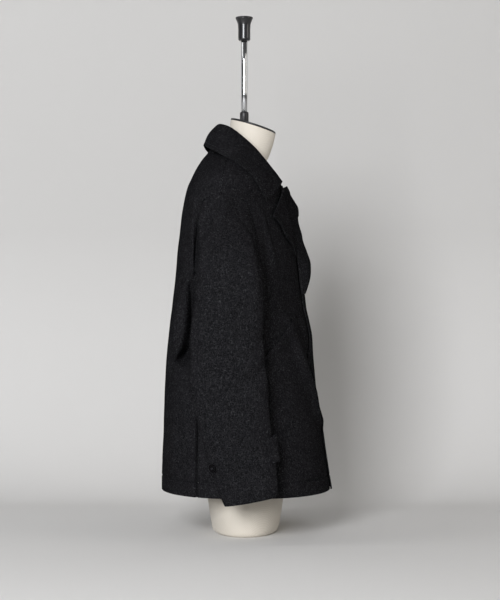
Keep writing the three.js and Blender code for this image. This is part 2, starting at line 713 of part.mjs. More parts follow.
// Slant pocket welt: a strip on the front, below and in front of the pocket's mouth.
function buildPocketWelt(side) {
  const along0 = girthAtY(POCKET.topZ, POCKET.topY);
  const along1 = girthAtY(POCKET.lowZ, POCKET.lowY);
  const run = new THREE.Vector2(along1 - along0, POCKET.lowZ - POCKET.topZ);
  const across = new THREE.Vector2(run.y, -run.x).normalize();
  const grid = (out) => {
    const rows = [];
    for (let i = 0; i < 3; i++) {
      const row = [];
      for (let j = 0; j < 10; j++) {
        const s = along0 + (run.x * j) / 9 + across.x * POCKET.width * (i / 2);
        const z = POCKET.topZ + (run.y * j) / 9 + across.y * POCKET.width * (i / 2);
        row.push(coatPoint(side, z, s, LAY_GAP + 1 + out));
      }
      rows.push(row);
    }
    return rows;
  };
  return sheetSolid(grid(POCKET.thick), grid(0), false);
}

// Point of the right sleeve below its head, moved out by a distance.
function sleevePoint(z, degrees, out) {
  const row = { z };
  for (const name of ["front", "back", "x", "thick", "tilt", "power"]) {
    const rows = SLEEVE.slice().reverse();
    row[name] = smoothAt(rows, z, name);
  }
  return sleeveSection(row, (degrees * Math.PI) / 180, -out);
}

// Cuff tab: comes from the inner side round the front of the sleeve and ends on the outer side.
function cuffTabGrids() {
  const columns = 15;
  const grid = (out) =>
    [0, 0.5, 1].map((share) => {
      const row = [];
      for (let j = 0; j < columns; j++) {
        const t = j / (columns - 1);
        const degrees = TAB.innerAngle + (TAB.outerAngle - TAB.innerAngle) * t;
        const top = TAB.top + TAB.peak * Math.exp(-Math.pow((degrees - 4) / 14, 2));
        const proud = TAB.lift * Math.pow(Math.sin(Math.PI * t), 1.5);
        row.push(sleevePoint(TAB.bottom + (top - TAB.bottom) * share, degrees, LAY_GAP + TAB.clear + proud + out));
      }
      return row;
    });
  return { outer: grid(TAB.thick), inner: grid(0) };
}

function cuffButtonRings() {
  const at = sleevePoint(BUTTON.z, BUTTON.angle, 0);
  const a = sleevePoint(BUTTON.z, BUTTON.angle + 3, 0).sub(sleevePoint(BUTTON.z, BUTTON.angle - 3, 0));
  const up = sleevePoint(BUTTON.z + 6, BUTTON.angle, 0).sub(sleevePoint(BUTTON.z - 6, BUTTON.angle, 0)).normalize();
  const face = new THREE.Vector3().crossVectors(a, up).normalize();
  if (face.x > 0) face.negate();
  const across = new THREE.Vector3().crossVectors(up, face).normalize();
  return BUTTON_PROFILE.map((row) => {
    const ring = [];
    for (let j = 0; j < 20; j++) {
      const angle = (2 * Math.PI * j) / 20;
      const p = at.clone().addScaledVector(face, BUTTON.gap + row.z);
      p.addScaledVector(across, row.r * Math.cos(angle)).addScaledVector(up, row.r * Math.sin(angle));
      ring.push(p);
    }
    return ring;
  });
}

// Collar: outer edge, fall, fold and stand down to the neck seam.
function collarGrids() {
  const stations = [];
  for (let i = 0; i < COLLAR.length - 1; i++) stations.push(i, i + 0.5);
  stations.push(COLLAR.length - 1);
  const table = COLLAR.map((row, i) => ({ ...row, z: i }));
  const foldRadius = 4.6;
  const profile = (q, side, out) => {
    const g = (name) => smoothAt(table, q, name);
    const fold = new THREE.Vector3(side * g("foldX"), g("foldY"), g("foldZ"));
    const neckZ = q < 0.6 ? NECK_BACK_Z : g("neckZ");
    const neck = neckSeam(side, q, neckZ, -WALL / 2);
    const neckFace = neckSeam(side, q, neckZ, -out);
    const edge = new THREE.Vector3(side * g("edgeX"), g("edgeY"), g("edgeZ"));
    const stand = neck.clone().sub(fold);
    const outward = edge.clone().sub(neck);
    outward.addScaledVector(stand, -outward.dot(stand) / stand.lengthSq()).normalize();
    const up = stand.clone().normalize().negate();
    const radius = foldRadius - (WALL - out);
    const centre = fold.clone().addScaledVector(up, -foldRadius);
    const fall = edge.clone().sub(centre);
    const tangent = fall.clone().normalize();
    const across = new THREE.Vector3().crossVectors(outward, up);
    const normal = new THREE.Vector3().crossVectors(across, tangent).normalize();
    if (normal.dot(outward) < 0) normal.negate();
    const points = [];
    const shoulder = centre.clone().addScaledVector(normal, foldRadius);
    for (let k = 0; k < 5; k++) {
      const t = k / 5;
      const p = edge.clone().lerp(shoulder, t).addScaledVector(normal, 4 * Math.sin(Math.PI * t) - WALL);
      points.push(pushClear(p, 4).addScaledVector(normal, out));
    }
    const fromAngle = Math.atan2(normal.dot(up), normal.dot(outward));
    for (let k = 0; k <= 4; k++) {
      const angle = fromAngle + ((Math.PI - fromAngle) * k) / 4;
      const p = centre.clone().addScaledVector(outward, radius * Math.cos(angle));
      points.push(p.addScaledVector(up, radius * Math.sin(angle)));
    }
    const top = points[points.length - 1].clone();
    points.push(top.clone().lerp(neckFace, 0.5), neckFace);
    return points;
  };
  const build = (out) => {
    const right = stations.map((q) => profile(q, -1, out)).reverse();
    const left = stations.slice(1).map((q) => profile(q, 1, out));
    return [...right, ...left];
  };
  return { outer: build(WALL), inner: build(0) };
}

// Moves a point out from the middle of its level until it stands clear of the coat's outer face.
function pushClear(p, margin) {
  if (p.z > NECK_POINT_Z + 20) return p;
  const fade = smoothStep(NECK_POINT_Z + 5, NECK_POINT_Z + 20, p.z);
  const midY = smoothAt(BODY, p.z, "midY");
  const atFront = p.y < midY;
  const depth = Math.abs(smoothAt(BODY, p.z, atFront ? "front" : "back") - midY);
  const power = smoothAt(BODY, p.z, atFront ? "frontPower" : "backPower");
  const half = smoothAt(BODY, p.z, "half");
  const sum = Math.pow(Math.abs(p.x) / half, power) + Math.pow(Math.abs(p.y - midY) / depth, power);
  const reach = Math.hypot(p.x, p.y - midY);
  const clear = reach / Math.pow(sum, 1 / power) + margin;
  if (reach >= clear) return p;
  const want = clear + (reach - clear) * fade;
  p.x *= want / reach;
  p.y = midY + ((p.y - midY) * want) / reach;
  return p;
}

// Closed solid of rings of points, with flat ends.
function ringSolid(rings) {
  const columns = rings[0].length;
  const flat = [];
  for (const ring of rings) for (const p of ring) flat.push(p.x, p.y, p.z);
  const low = gridCentre(rings[0]);
  const high = gridCentre(rings[rings.length - 1]);
  flat.push(low.x, low.y, low.z, high.x, high.y, high.z);
  const first = rings.length * columns;
  const index = [];
  for (let i = 0; i < rings.length - 1; i++) {
    for (let j = 0; j < columns; j++) {
      const k = (j + 1) % columns;
      index.push(i * columns + j, i * columns + k, (i + 1) * columns + k);
      index.push(i * columns + j, (i + 1) * columns + k, (i + 1) * columns + j);
    }
  }
  for (let j = 0; j < columns; j++) {
    const k = (j + 1) % columns;
    index.push(first, k, j);
    index.push(first + 1, (rings.length - 1) * columns + j, (rings.length - 1) * columns + k);
  }
  const geometry = new THREE.BufferGeometry();
  geometry.setAttribute("position", new THREE.Float32BufferAttribute(flat, 3));
  geometry.setIndex(index);
  return faceOut(geometry);
}

function ellipseRing(half, front, back, z, tilt, columns, frontPower, backPower) {
  const ring = [];
  const midY = (front + back) / 2;
  for (let j = 0; j < columns; j++) {
    const angle = (2 * Math.PI * j) / columns;
    const c = Math.cos(angle);
    const s = Math.sin(angle);
    const power = c > 0 ? frontPower : backPower;
    const x = half * Math.sign(s) * Math.pow(Math.abs(s), 2 / power);
    const y = midY - ((back - front) / 2) * Math.sign(c) * Math.pow(Math.abs(c), 2 / power);
    ring.push(new THREE.Vector3(x, y, z + tilt * (y - midY)));
  }
  return ring;
}

function buildTorso() {
  const levels = [0, 4, 20, 52, 90, 140, 220, 300, 400, 500, 580, 640, 680, 700];
  levels.push(712, 723, 734, 742, 749, 757, 768, 785, 803, 822);
  const rings = levels.map((z) => {
    const g = (name) => smoothAt(TORSO, z, name);
    const frontPower = z > 740 ? 2 : 2.2 - 0.6 * smoothStep(420, 620, z);
    const backPower = z > 700 ? 2 : 2.2;
    return ellipseRing(g("half"), g("front"), g("back"), z, g("tilt"), TORSO_COLUMNS, frontPower, backPower);
  });
  return ringSolid(rings);
}

function buildNeckCap() {
  const cap = NECK;
  const rings = [0, cap.plate - 0.8, cap.plate].map((rise, i) => {
    const half = cap.radius - (i === 2 ? 0.8 : 0);
    const depth = half * 0.955;
    return ellipseRing(half, cap.y - depth, cap.y + depth, cap.z + rise, cap.tilt, TORSO_COLUMNS, 2, 2);
  });
  return ringSolid(rings);
}

// Short round socket whose lower end follows the sloping cap.
function buildSocket() {
  const foot = NECK.z + NECK.plate + SOCKET.gap;
  const low = ellipseRing(SOCKET.radius, -SOCKET.radius, SOCKET.radius, foot - NECK.tilt * NECK.y, NECK.tilt, 28, 2, 2);
  const high = ellipseRing(SOCKET.radius, -SOCKET.radius, SOCKET.radius, SOCKET.top, 0, 28, 2, 2);
  return ringSolid([low, high]);
}

function lathe(profile, columns, x, y) {
  const rings = profile.map((row) => {
    const ring = [];
    for (let j = 0; j < columns; j++) {
      const angle = (2 * Math.PI * j) / columns;
      ring.push(new THREE.Vector3(x + row.r * Math.cos(angle), y + row.r * Math.sin(angle), row.z));
    }
    return ring;
  });
  return ringSolid(rings);
}

addMesh("back", buildBack(), WOOL, 0.92, 0);
addMesh("front_right", buildFront(-1), WOOL, 0.92, 0);
addMesh("front_left", buildFront(1), WOOL, 0.92, 0);
const sleeve = buildSleeves();
addMesh("sleeve_right", sheetSolid(sleeve.outer, sleeve.inner, true), WOOL, 0.92, 0);
addMesh("sleeve_left", sheetSolid(mirrored(sleeve.outer), mirrored(sleeve.inner), true), WOOL, 0.92, 0);
const lapelRight = lapelGrids(-1);
addMesh("lapel_right", sheetSolid(lapelRight.outer, lapelRight.inner, false), WOOL_DARK, 0.92, 0);
const lapelLeft = lapelGrids(1);
addMesh("lapel_left", sheetSolid(lapelLeft.outer, lapelLeft.inner, false), WOOL_DARK, 0.92, 0);
const collar = collarGrids();
addMesh("collar", sheetSolid(collar.outer, collar.inner, false), WOOL, 0.92, 0);

addMesh("pocket_welt_right", buildPocketWelt(-1), WOOL, 0.92, 0);
addMesh("pocket_welt_left", buildPocketWelt(1), WOOL, 0.92, 0);
const tab = cuffTabGrids();
addMesh("cuff_tab_right", sheetSolid(tab.outer, tab.inner, false), WOOL, 0.92, 0);
addMesh("cuff_tab_left", sheetSolid(mirrored(tab.outer), mirrored(tab.inner), false), WOOL, 0.92, 0);
const buttonRings = cuffButtonRings();
addMesh("cuff_button_right", ringSolid(buttonRings), 0x18181b, 0.35, 0);
addMesh("cuff_button_left", ringSolid(mirrored(buttonRings)), 0x18181b, 0.35, 0);
addMesh("form_torso", buildTorso(), 0xd9cfb8, 0.9, 0);
addMesh("form_neck_cap", buildNeckCap(), 0x1c1c1e, 0.55, 0);
addMesh("form_rod_socket", buildSocket(), 0x1c1c1e, 0.5, 0);
const rodProfile = [{ r: ROD.radius, z: SOCKET.top + 0.3 }, { r: ROD.radius, z: ROD.top }];
addMesh("form_rod", lathe(rodProfile, 28, 0, 0), 0xc8cbd0, 0.2, 1);
addMesh("form_knob", lathe(KNOB, 20, 0, 0), 0x1a1a1c, 0.5, 0);

export default root;
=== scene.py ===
"""A short dark wool coat on a limbless dress form: the visual model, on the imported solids."""

import math

import bmesh
import bpy
import numpy as np
from mathutils import Matrix, Vector


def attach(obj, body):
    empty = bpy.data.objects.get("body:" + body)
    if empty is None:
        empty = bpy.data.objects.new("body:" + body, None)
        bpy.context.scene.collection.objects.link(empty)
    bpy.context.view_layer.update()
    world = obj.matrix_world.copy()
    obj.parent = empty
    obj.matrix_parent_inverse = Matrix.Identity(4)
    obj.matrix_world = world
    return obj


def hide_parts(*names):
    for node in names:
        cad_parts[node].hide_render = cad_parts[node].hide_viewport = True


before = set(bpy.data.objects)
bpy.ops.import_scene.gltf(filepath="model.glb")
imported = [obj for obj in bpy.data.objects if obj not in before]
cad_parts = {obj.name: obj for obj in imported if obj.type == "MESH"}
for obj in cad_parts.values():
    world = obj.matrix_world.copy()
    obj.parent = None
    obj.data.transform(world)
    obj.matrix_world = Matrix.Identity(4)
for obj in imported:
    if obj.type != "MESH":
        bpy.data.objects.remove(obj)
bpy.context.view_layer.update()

# Sizes in millimetres, as in the part's source.
WALL = 3.0
SEAM_GAP = 0.35
LAY_GAP = 0.4
OVERLAP_GAP = 1.4
# Height of the stitch line over the hem of the body, and over the folded edge of a sleeve.
STITCH_RISE = 28.0
SLEEVE_STITCH_RISE = 26.0
HEM_Z = 84.0
UNDERARM_Z = 520.0
ARMHOLE_TOP_Z = 675.0
SLEEVE_TOP_Z = 500.0
SLEEVE_HEM_Z = 82.0
NECK_POINT_Z = 768.0
NECK_BACK_Z = 791.0
OVERLAP_X = 38.0
BREAK_Z = 476.0
RIGHT = -1
LEFT = 1

# Level, half width, Y of the widest point, front, back, front power, back power.
HALF, MID_Y, FRONT, BACK, FRONT_POWER, BACK_POWER = 1, 2, 3, 4, 5, 6
BODY = [
    (84, 224, 0, -175, 168, 2.2, 2.2),
    (150, 222, 0, -165, 167, 2.1, 2.2),
    (206, 220, 0, -157, 165, 2.0, 2.2),
    (261, 219, 0, -147, 163, 1.9, 2.2),
    (316, 218, 2, -141, 161, 1.8, 2.2),
    (353, 217, 4, -137, 159, 1.75, 2.2),
    (390, 216, 6, -135, 155, 1.7, 2.2),
    (427, 215, 8, -128.5, 151, 1.65, 2.2),
    (452, 214, 10, -123, 147.5, 1.6, 2.2),
    (476, 214, 12, -120.5, 145, 1.55, 2.2),
    (519, 213, 16, -113, 140, 1.5, 2.2),
    (556, 212, 20, -107, 137, 1.45, 2.2),
    (611, 211, 28, -98, 131, 1.4, 2.2),
    (642, 211, 36, -94, 128, 1.4, 2.1),
    (675, 210, 45, -91, 122, 1.4, 2.0),
    (698, 205, 43, -87, 115.5, 1.45, 2.0),
    (712, 198, 40, -83, 109, 1.5, 2.0),
    (723, 186, 38, -78, 104, 1.5, 2.0),
    (734, 168, 36, -70, 98.5, 1.5, 2.0),
    (745, 145, 33, -60, 92, 1.6, 2.0),
    (756, 115, 26, -46, 85, 1.7, 2.0),
    (768, 79, 15, -30, 76, 1.8, 2.0),
    (780, 62, 20, -20, 68, 2, 2.0),
    (793, 52, 30, 0, 58, 2, 2.0),
]
# Level and Y of the side-back seam and of the two sides of the armhole.
SIDE_SEAM = [(84, 92), (300, 92), (400, 88), (470, 66), (520, 38)]
ARMHOLE_FRONT = [
    (520, 38), (523, 20), (532, 2), (550, -12), (580, -20),
    (610, -22), (640, -15), (658, -4), (668, 12), (675, 45),
]
ARMHOLE_BACK = [
    (520, 38), (523, 54), (532, 66), (550, 76), (580, 84),
    (610, 87), (640, 87), (658, 82), (668, 70), (675, 45),
]
# Level and X of the lapel's fold, and of the neck seam of the back.
ROLL_LINE = [
    (476, 38), (564, 0), (628, -27), (688, -53), (700, -58), (723, -68), (741, -75), (756, -79), (768, -79),
]
BACK_NECK = [(768, 79), (776, 66), (784, 46), (791, 14)]
# Level and Y of the lapel's outer edge: its point at 636, the notch at 687.
LAPEL_EDGE = [
    (556, -104), (576, -95), (593, -80), (618, -67), (636, -53), (650, -59), (670, -67),
    (687, -73), (698, -76),
]
RIGHT_LAPEL_LIFT = 4.0
LEFT_CORNER_RISE = 6.0
# Left lapel, which stands forward of the front: level, reach from its fold, and how far its edge and its
# middle stand off.
LEFT_LAPEL = [
    (478, 8, 0.4, 1), (488, 20, 4, 3), (501, 34, 9, 5), (521, 48, 22, 6), (540, 54, 30, 5), (559, 58, 33, 4),
    (578, 62, 37, 3), (597, 66, 44, 3), (616, 70, 48, 3), (634, 77, 57, 3), (640, 78, 62, 3),
    (650, 70, 61, 2), (670, 50, 48, 2), (687, 34, 34, 1), (698, 16, 20, 0),
]
# Station, level of the neck seam, fold X Y Z, outer edge X Y Z, from the middle of the back to the front end.
COLLAR = [
    (0, 791, 0, 52.6, 828, 0, 84, 784),
    (1, 787.3, 30, 47, 826, 40, 82.5, 782),
    (2, 782, 54, 33, 820, 78, 75, 775),
    (3, 775, 67, 17, 809, 114, 60, 766),
    (4, 768, 73, 1, 796, 142, 33.6, 750),
    (5, 756, 75, -20, 777, 158, 5, 730.5),
    (6, 741, 74, -41, 753, 156, -14.5, 712),
    (7, 724, 69, -62, 727, 146, -29, 692),
    (8, 706, 61, -78, 706, 128, -45, 664),
]
# Level, front, back, centre X, half thickness, tilt, power of the right sleeve below its head.
SLEEVE = [
    (82, -62, 36, -260, 23, 0.18, 1.75),
    (96, -66, 42, -260, 24, 0.18, 1.75),
    (120, -64, 51, -260, 25, 0.18, 1.75),
    (160, -60, 67, -259, 26, 0.18, 1.8),
    (200, -54, 77, -258, 27, 0.17, 1.8),
    (240, -49, 88, -257, 28, 0.16, 1.85),
    (280, -46, 98, -256, 29, 0.14, 1.9),
    (315, -43, 101.5, -255, 30, 0.11, 1.9),
    (354, -40, 103, -254, 30, 0.08, 1.95),
    (380, -38, 102.5, -253, 31, 0.05, 2.0),
    (410, -37, 101, -252, 31, 0.02, 2.0),
    (440, -38, 98, -251, 31, 0, 2.0),
    (470, -39, 94.5, -250, 30, 0, 2.0),
    (500, -38, 93, -249, 30, 0, 2.0),
]
# Dress form: level, half width, front, back, tilt.
TORSO = [
    (0, 146, -64, 60, 0), (4, 152, -69, 65, 0), (20, 157, -73, 68, 0), (52, 162, -78, 73, 0),
    (120, 165, -84, 80, 0), (200, 158, -82, 80, 0), (300, 145, -74, 72, 0), (400, 148, -76, 82, 0),
    (500, 158, -80, 98, 0), (580, 163, -78, 106, 0), (640, 167, -68, 106, 0), (680, 173, -58, 104, 0),
    (700, 174, -54, 100, 0), (712, 170, -50, 97, 0), (723, 163, -44, 96, 0), (734, 148, -43, 91, 0),
    (742, 130.6, -42, 86, 0), (749, 107.6, -42, 77.5, 0.03), (757, 77, -45, 59, 0.1),
    (768, 56, -50, 42, 0.17), (785, 49.5, -55, 35.5, 0.25), (803, 48.5, -60, 31, 0.3),
    (822, 48, -64, 27.5, 0.313),
]
NECK_Y, NECK_Z, NECK_RADIUS, NECK_PLATE, NECK_TILT = -18.25, 822.35, 48.0, 4.0, 0.313
# Radius and level of the knob.
KNOB = [
    (10.5, 999.3), (12.5, 1001), (12.5, 1022), (13.2, 1034), (16.5, 1042), (18, 1045),
    (17.6, 1047.4), (15, 1048.3),
]

# Creases of the coat's body: side, width, height, path as (Y, level).
CREASES = [
    (RIGHT, 16, 12, [(-84, 425), (-112, 350), (-136, 280), (-150, 225)]),
    (RIGHT, 11, -8, [(-112, 425), (-132, 355), (-148, 290)]),
    (RIGHT, 11, -5, [(-44, 590), (-50, 500), (-52, 400), (-54, 330)]),
    (LEFT, 18, 7, [(-90, 405), (-116, 335), (-140, 240)]),
    (LEFT, 9, -6, [(88, 612), (90, 570), (94, 520)]),
    (RIGHT, 20, -9, [(112, 470), (116, 400), (112, 330)]),
    (RIGHT, 9, 6, [(104, 334), (122, 318), (140, 308)]),
    (RIGHT, 10, 5, [(124, 490), (131, 430), (140, 380)]),
    (RIGHT, 11, -4, [(128, 420), (134, 370), (146, 335)]),
    (RIGHT, 12, 3.5, [(150, 400), (152, 350), (146, 300)]),
    (RIGHT, 15, -3, [(126, 300), (132, 220), (128, 150)]),
    (LEFT, 12, -6, [(110, 530), (118, 470), (126, 410)]),
    (LEFT, 12, -3.5, [(128, 400), (138, 350), (148, 310)]),
    (LEFT, 15, -3, [(124, 280), (131, 200), (127, 140)]),
    (LEFT, 22, -8, [(114, 460), (118, 390), (112, 320)]),
    (RIGHT, 16, 4, [(128, 440), (134, 360), (130, 280)]),
    (RIGHT, 10, 4, [(94, 668), (100, 630), (102, 590)]),
    (LEFT, 10, 4, [(94, 664), (101, 620), (103, 580)]),
    (RIGHT, 9, 4, [(-34, 640), (-48, 590), (-62, 540)]),
    (LEFT, 10, 4, [(-36, 630), (-50, 580), (-60, 530)]),
]
# Deep hollows and seam lines behind the sleeves, which go straight in from the side: side, width, depth,
# path as (Y, level), steepness.
HOLLOWS = [
    (RIGHT, 20, 52, [(101, 490), (104, 455), (107, 420), (112, 382), (118, 354)], 2.4),
    (RIGHT, 10, 24, [(114, 370), (123, 355), (132, 344)], 2),
    (RIGHT, 2.4, 9, [(92.2, 345), (92.2, 200), (92.2, 50)], 2),
    (LEFT, 2.4, 9, [(92.2, 345), (92.2, 200), (92.2, 50)], 2),
    (RIGHT, 7, 24, [(90, 618), (92, 590), (94, 555), (95, 515)], 2.6),
    (LEFT, 14, 26, [(97, 505), (101, 430), (104, 366)], 3),
]


def smooth_at(rows, z, k):
    """Cubic value with limited slopes through column k of rows whose first column rises."""
    n = len(rows)
    if z <= rows[0][0]:
        return float(rows[0][k])
    if z >= rows[-1][0]:
        return float(rows[-1][k])
    i = 1
    while z > rows[i][0]:
        i += 1

    def slope(j):
        return (rows[j][k] - rows[j - 1][k]) / (rows[j][0] - rows[j - 1][0])

    def tangent(j):
        if j == 0:
            return slope(1)
        if j == n - 1:
            return slope(n - 1)
        a, b = slope(j), slope(j + 1)
        return 0.0 if a * b <= 0 else 2 * a * b / (a + b)

    h = rows[i][0] - rows[i - 1][0]
    t = (z - rows[i - 1][0]) / h
    t2, t3 = t * t, t * t * t
    return (
        (2 * t3 - 3 * t2 + 1) * rows[i - 1][k]
        + (t3 - 2 * t2 + t) * h * tangent(i - 1)
        + (3 * t2 - 2 * t3) * rows[i][k]
        + (t3 - t2) * h * tangent(i)
    )


def linear_at(rows, z, k=1):
    """Straight-line value through column k of rows."""
    return float(np.interp(z, [r[0] for r in rows], [r[k] for r in rows]))


def smooth_step(a, b, v):
    """Smooth rise from 0 at a to 1 at b."""
    t = np.clip((np.asarray(v, float) - a) / (b - a), 0, 1)
    return t * t * (3 - 2 * t)


SECTIONS = {}
ANGLES = np.linspace(0, math.pi, 481)


def section(z):
    """Half section of the coat at a level: x, y and girth from the middle front to the middle back."""
    key = round(z * 20)
    if key not in SECTIONS:
        z = key / 20
        half, mid = smooth_at(BODY, z, HALF), smooth_at(BODY, z, MID_Y)
        front, back = mid - smooth_at(BODY, z, FRONT), smooth_at(BODY, z, BACK) - mid
        c, s = np.cos(ANGLES), np.sin(ANGLES)
        power = np.where(c > 0, smooth_at(BODY, z, FRONT_POWER), smooth_at(BODY, z, BACK_POWER))
        depth = np.where(c > 0, front, back)
        x = half * np.abs(s) ** (2 / power)
        y = mid - np.sign(c) * depth * np.abs(c) ** (2 / power)
        girth = np.concatenate([[0], np.cumsum(np.hypot(np.diff(x), np.diff(y)))])
        SECTIONS[key] = (x, y, girth)
    return SECTIONS[key]


def girth_at_y(z, y):
    """Girth from the middle front to the point of the section at y."""
    x, ys, girth = section(z)
    return float(np.interp(y, ys, girth))


def girth_at_front_x(z, x):
    """Girth on the front half of the section, with the sign of x."""
    xs, ys, girth = section(z)
    top = int(np.argmax(xs))
    return math.copysign(float(np.interp(abs(x), xs[: top + 1], girth[: top + 1])), x)


def girth_at_back_x(z, x):
    """Girth on the back half of the section."""
    xs, ys, girth = section(z)
    top = int(np.argmax(xs))
    x = min(x, smooth_at(BODY, z, HALF) - 0.2)
    return float(np.interp(-x, -xs[top:], girth[top:]))


def plain_points(side, z, along):
    """Points of the plain form at one level, at girths from the middle front on one side."""
    xs, ys, girth = section(z)
    total = girth[-1]
    s = np.abs(np.asarray(along, float))
    sign = np.where(np.asarray(along) < 0, -side, side)
    over = s > total
    s = np.where(over, 2 * total - s, s)
    sign = np.where(over, -sign, sign)
    return np.stack([sign * np.interp(s, girth, xs), np.interp(s, girth, ys), np.full(len(s), float(z))], 1)


def plain_normals(side, z, along):
    """Outward directions of the plain form at one level."""
    along = np.asarray(along, float)
    across = plain_points(side, z, along + 5) - plain_points(side, z, along - 5)
    share = along / section(z)[2][-1]
    up = plain_points(side, z + 4, share * section(z + 4)[2][-1])
    down = plain_points(side, z - 4, share * section(z - 4)[2][-1])
    n = np.cross(up - down, across)
    n /= np.linalg.norm(n, axis=1)[:, None]
    return n if side < 0 else -n


def path_distance(points, path):
    """Distance of each point to a polyline, and its share along it."""
    best = np.full(len(points), 1e9)
    share = np.zeros(len(points))
    for i in range(1, len(path)):
        a, ab = path[i - 1], path[i] - path[i - 1]
        t = np.clip((points - a) @ ab / (ab @ ab), 0, 1)
        d = np.linalg.norm(points - a - t[:, None] * ab, axis=1)
        closer = d < best
        best = np.where(closer, d, best)
        share = np.where(closer, (i - 1 + t) / (len(path) - 1), share)
    return best, share


def crease_heights(points, paths):
    """Height that creases give at each point, blended over the middle front and back."""
    total = np.zeros(len(points))
    for side, width, height, path, power in paths:
        d, share = path_distance(points, path)
        ends = 0.35 + 0.65 * np.sin(math.pi * (0.12 + 0.76 * share))
        here = height * ends * np.exp(-((d / width) ** power))
        total += here * smooth_step(-12, 12, points[:, 0] * side)
    return total


def laid_on_body(table):
    """Rows whose path of (Y, level) is turned into points on the plain form."""
    rows = []
    for side, width, height, path, power in table:
        points = [plain_points(side, z, [girth_at_y(z, y)]) for y, z in path]
        rows.append((side, width, height, np.concatenate(points), power))
    return rows


BODY_PATHS = laid_on_body([(*row, 2) for row in CREASES])
HOLLOW_PATHS = laid_on_body(HOLLOWS)


def waviness(p, size=1.0):
    """Soft uneven swell of heavy cloth, about half a millimetre."""
    x, y, z = p[:, 0] / size, p[:, 1] / size, p[:, 2] / size
    return (
        0.5 * np.sin(x / 37 + 1.3 * np.sin(z / 61) + 0.7) * np.sin(z / 47 + 0.9 * np.sin(y / 43))
        + 0.35 * np.sin(y / 23 + z / 71 + 1.1) * np.sin(x / 29 - z / 53)
        + 0.2 * np.sin((x + y) / 13 + z / 19) * np.sin(z / 17 - y / 21)
    )


def coat_row(side, z, along, out):
    """Points of the coat at one level, at girths from the middle front, moved out from its outer face."""
    p = plain_points(side, z, along)
    n = plain_normals(side, z, along)
    height = crease_heights(p, BODY_PATHS) + waviness(p)
    moved = p + n * (height + out)[:, None]
    moved[:, 0] -= np.sign(p[:, 0]) * crease_heights(p, HOLLOW_PATHS)
    return moved


def mesh_object(name, vertices, faces, material):
    """Object from millimetre points, with its material."""
    mesh = bpy.data.meshes.new(name)
    mesh.from_pydata([tuple(v) for v in np.asarray(vertices) * 0.001], [], faces)
    mesh.validate()
    mesh.update()
    for polygon in mesh.polygons:
        polygon.use_smooth = True
    mesh.materials.append(material)
    obj = bpy.data.objects.new(name, mesh)
    bpy.context.scene.collection.objects.link(obj)
    return obj


def grid_faces(rows, columns, base, ring, flip):
    """Quads of a grid of points, closed round when ring."""
    faces = []
    last = columns if ring else columns - 1
    for i in range(rows - 1):
        for j in range(last):
            a = base + i * columns + j
            b = base + i * columns + (j + 1) % columns
            quad = (a, b, b + columns, a + columns)
            faces.append(quad[::-1] if flip else quad)
    return faces


def shell(name, outer, inner, material, ring, bulge, rim=(60, 30, 0, -30, -60)):
    """Closed thin sheet from grids of outer and inner points, with round edges that stand out by bulge."""
    rows, columns = outer.shape[:2]
    count = rows * columns
    vertices = [outer.reshape(-1, 3), inner.reshape(-1, 3)]
    faces = grid_faces(rows, columns, 0, ring, False) + grid_faces(rows, columns, count, ring, True)
    if ring:
        loops = [[i * columns + j for j in range(columns)] for i in (0, rows - 1)]
        away = [outer[0] - outer[1], outer[-1] - outer[-2]]
    else:
        top = list(range(columns))
        right = [i * columns + columns - 1 for i in range(1, rows)]
        bottom = [(rows - 1) * columns + j for j in range(columns - 2, -1, -1)]
        left = [i * columns for i in range(rows - 2, 0, -1)]
        loops = [top + right + bottom + left]
        out = np.zeros_like(outer)
        unit = lambda v: v / np.maximum(np.linalg.norm(v, axis=-1, keepdims=True), 1e-9)
        out[0] += unit(outer[0] - outer[1])
        out[-1] += unit(outer[-1] - outer[-2])
        out[:, 0] += unit(outer[:, 0] - outer[:, 1])
        out[:, -1] += unit(outer[:, -1] - outer[:, -2])
        away = [out.reshape(-1, 3)[loops[0]]]
    total = 2 * count
    flat_outer, flat_inner = outer.reshape(-1, 3), inner.reshape(-1, 3)
    for number, loop in enumerate(loops):
        o, i = flat_outer[loop], flat_inner[loop]
        middle, half = (o + i) / 2, (o - i) / 2
        reach = np.linalg.norm(half, axis=1)[:, None]
        t = away[number] / np.maximum(np.linalg.norm(away[number], axis=1)[:, None], 1e-9)
        t = t - half * (np.sum(t * half, 1) / np.maximum(np.sum(half * half, 1), 1e-9))[:, None]
        t /= np.maximum(np.linalg.norm(t, axis=1)[:, None], 1e-9)
        previous = list(loop)
        flip = ring and number == 0
        for angle in rim:
            a = math.radians(angle)
            vertices.append(middle + half * math.sin(a) + t * reach * bulge * math.cos(a))
            current = [total + k for k in range(len(loop))]
            total += len(loop)
            faces += bridge(previous, current, flip != (not ring))
            previous = current
        faces += bridge(previous, [count + k for k in loop], flip != (not ring))
    obj = mesh_object(name, np.concatenate(vertices), faces, material)
    turn_out(obj)
    return obj


def bridge(a, b, flip):
    """Quads between two closed loops of point numbers."""
    faces = []
    for k in range(len(a)):
        n = (k + 1) % len(a)
        quad = (a[k], a[n], b[n], b[k])
        faces.append(quad[::-1] if flip else quad)
    return faces


def turn_out(obj):
    """Makes the faces agree and point out."""
    work = bmesh.new()
    work.from_mesh(obj.data)
    bmesh.ops.recalc_face_normals(work, faces=work.faces)
    work.to_mesh(obj.data)
    work.free()


def grid_area(grid):
    """Area of a grid of points in square metres."""
    a, b, c, d = grid[:-1, :-1], grid[:-1, 1:], grid[1:, 1:], grid[1:, :-1]
    area = np.linalg.norm(np.cross(b - a, c - a), axis=-1) + np.linalg.norm(np.cross(c - a, d - a), axis=-1)
    return float(area.sum() / 2) * 1e-6


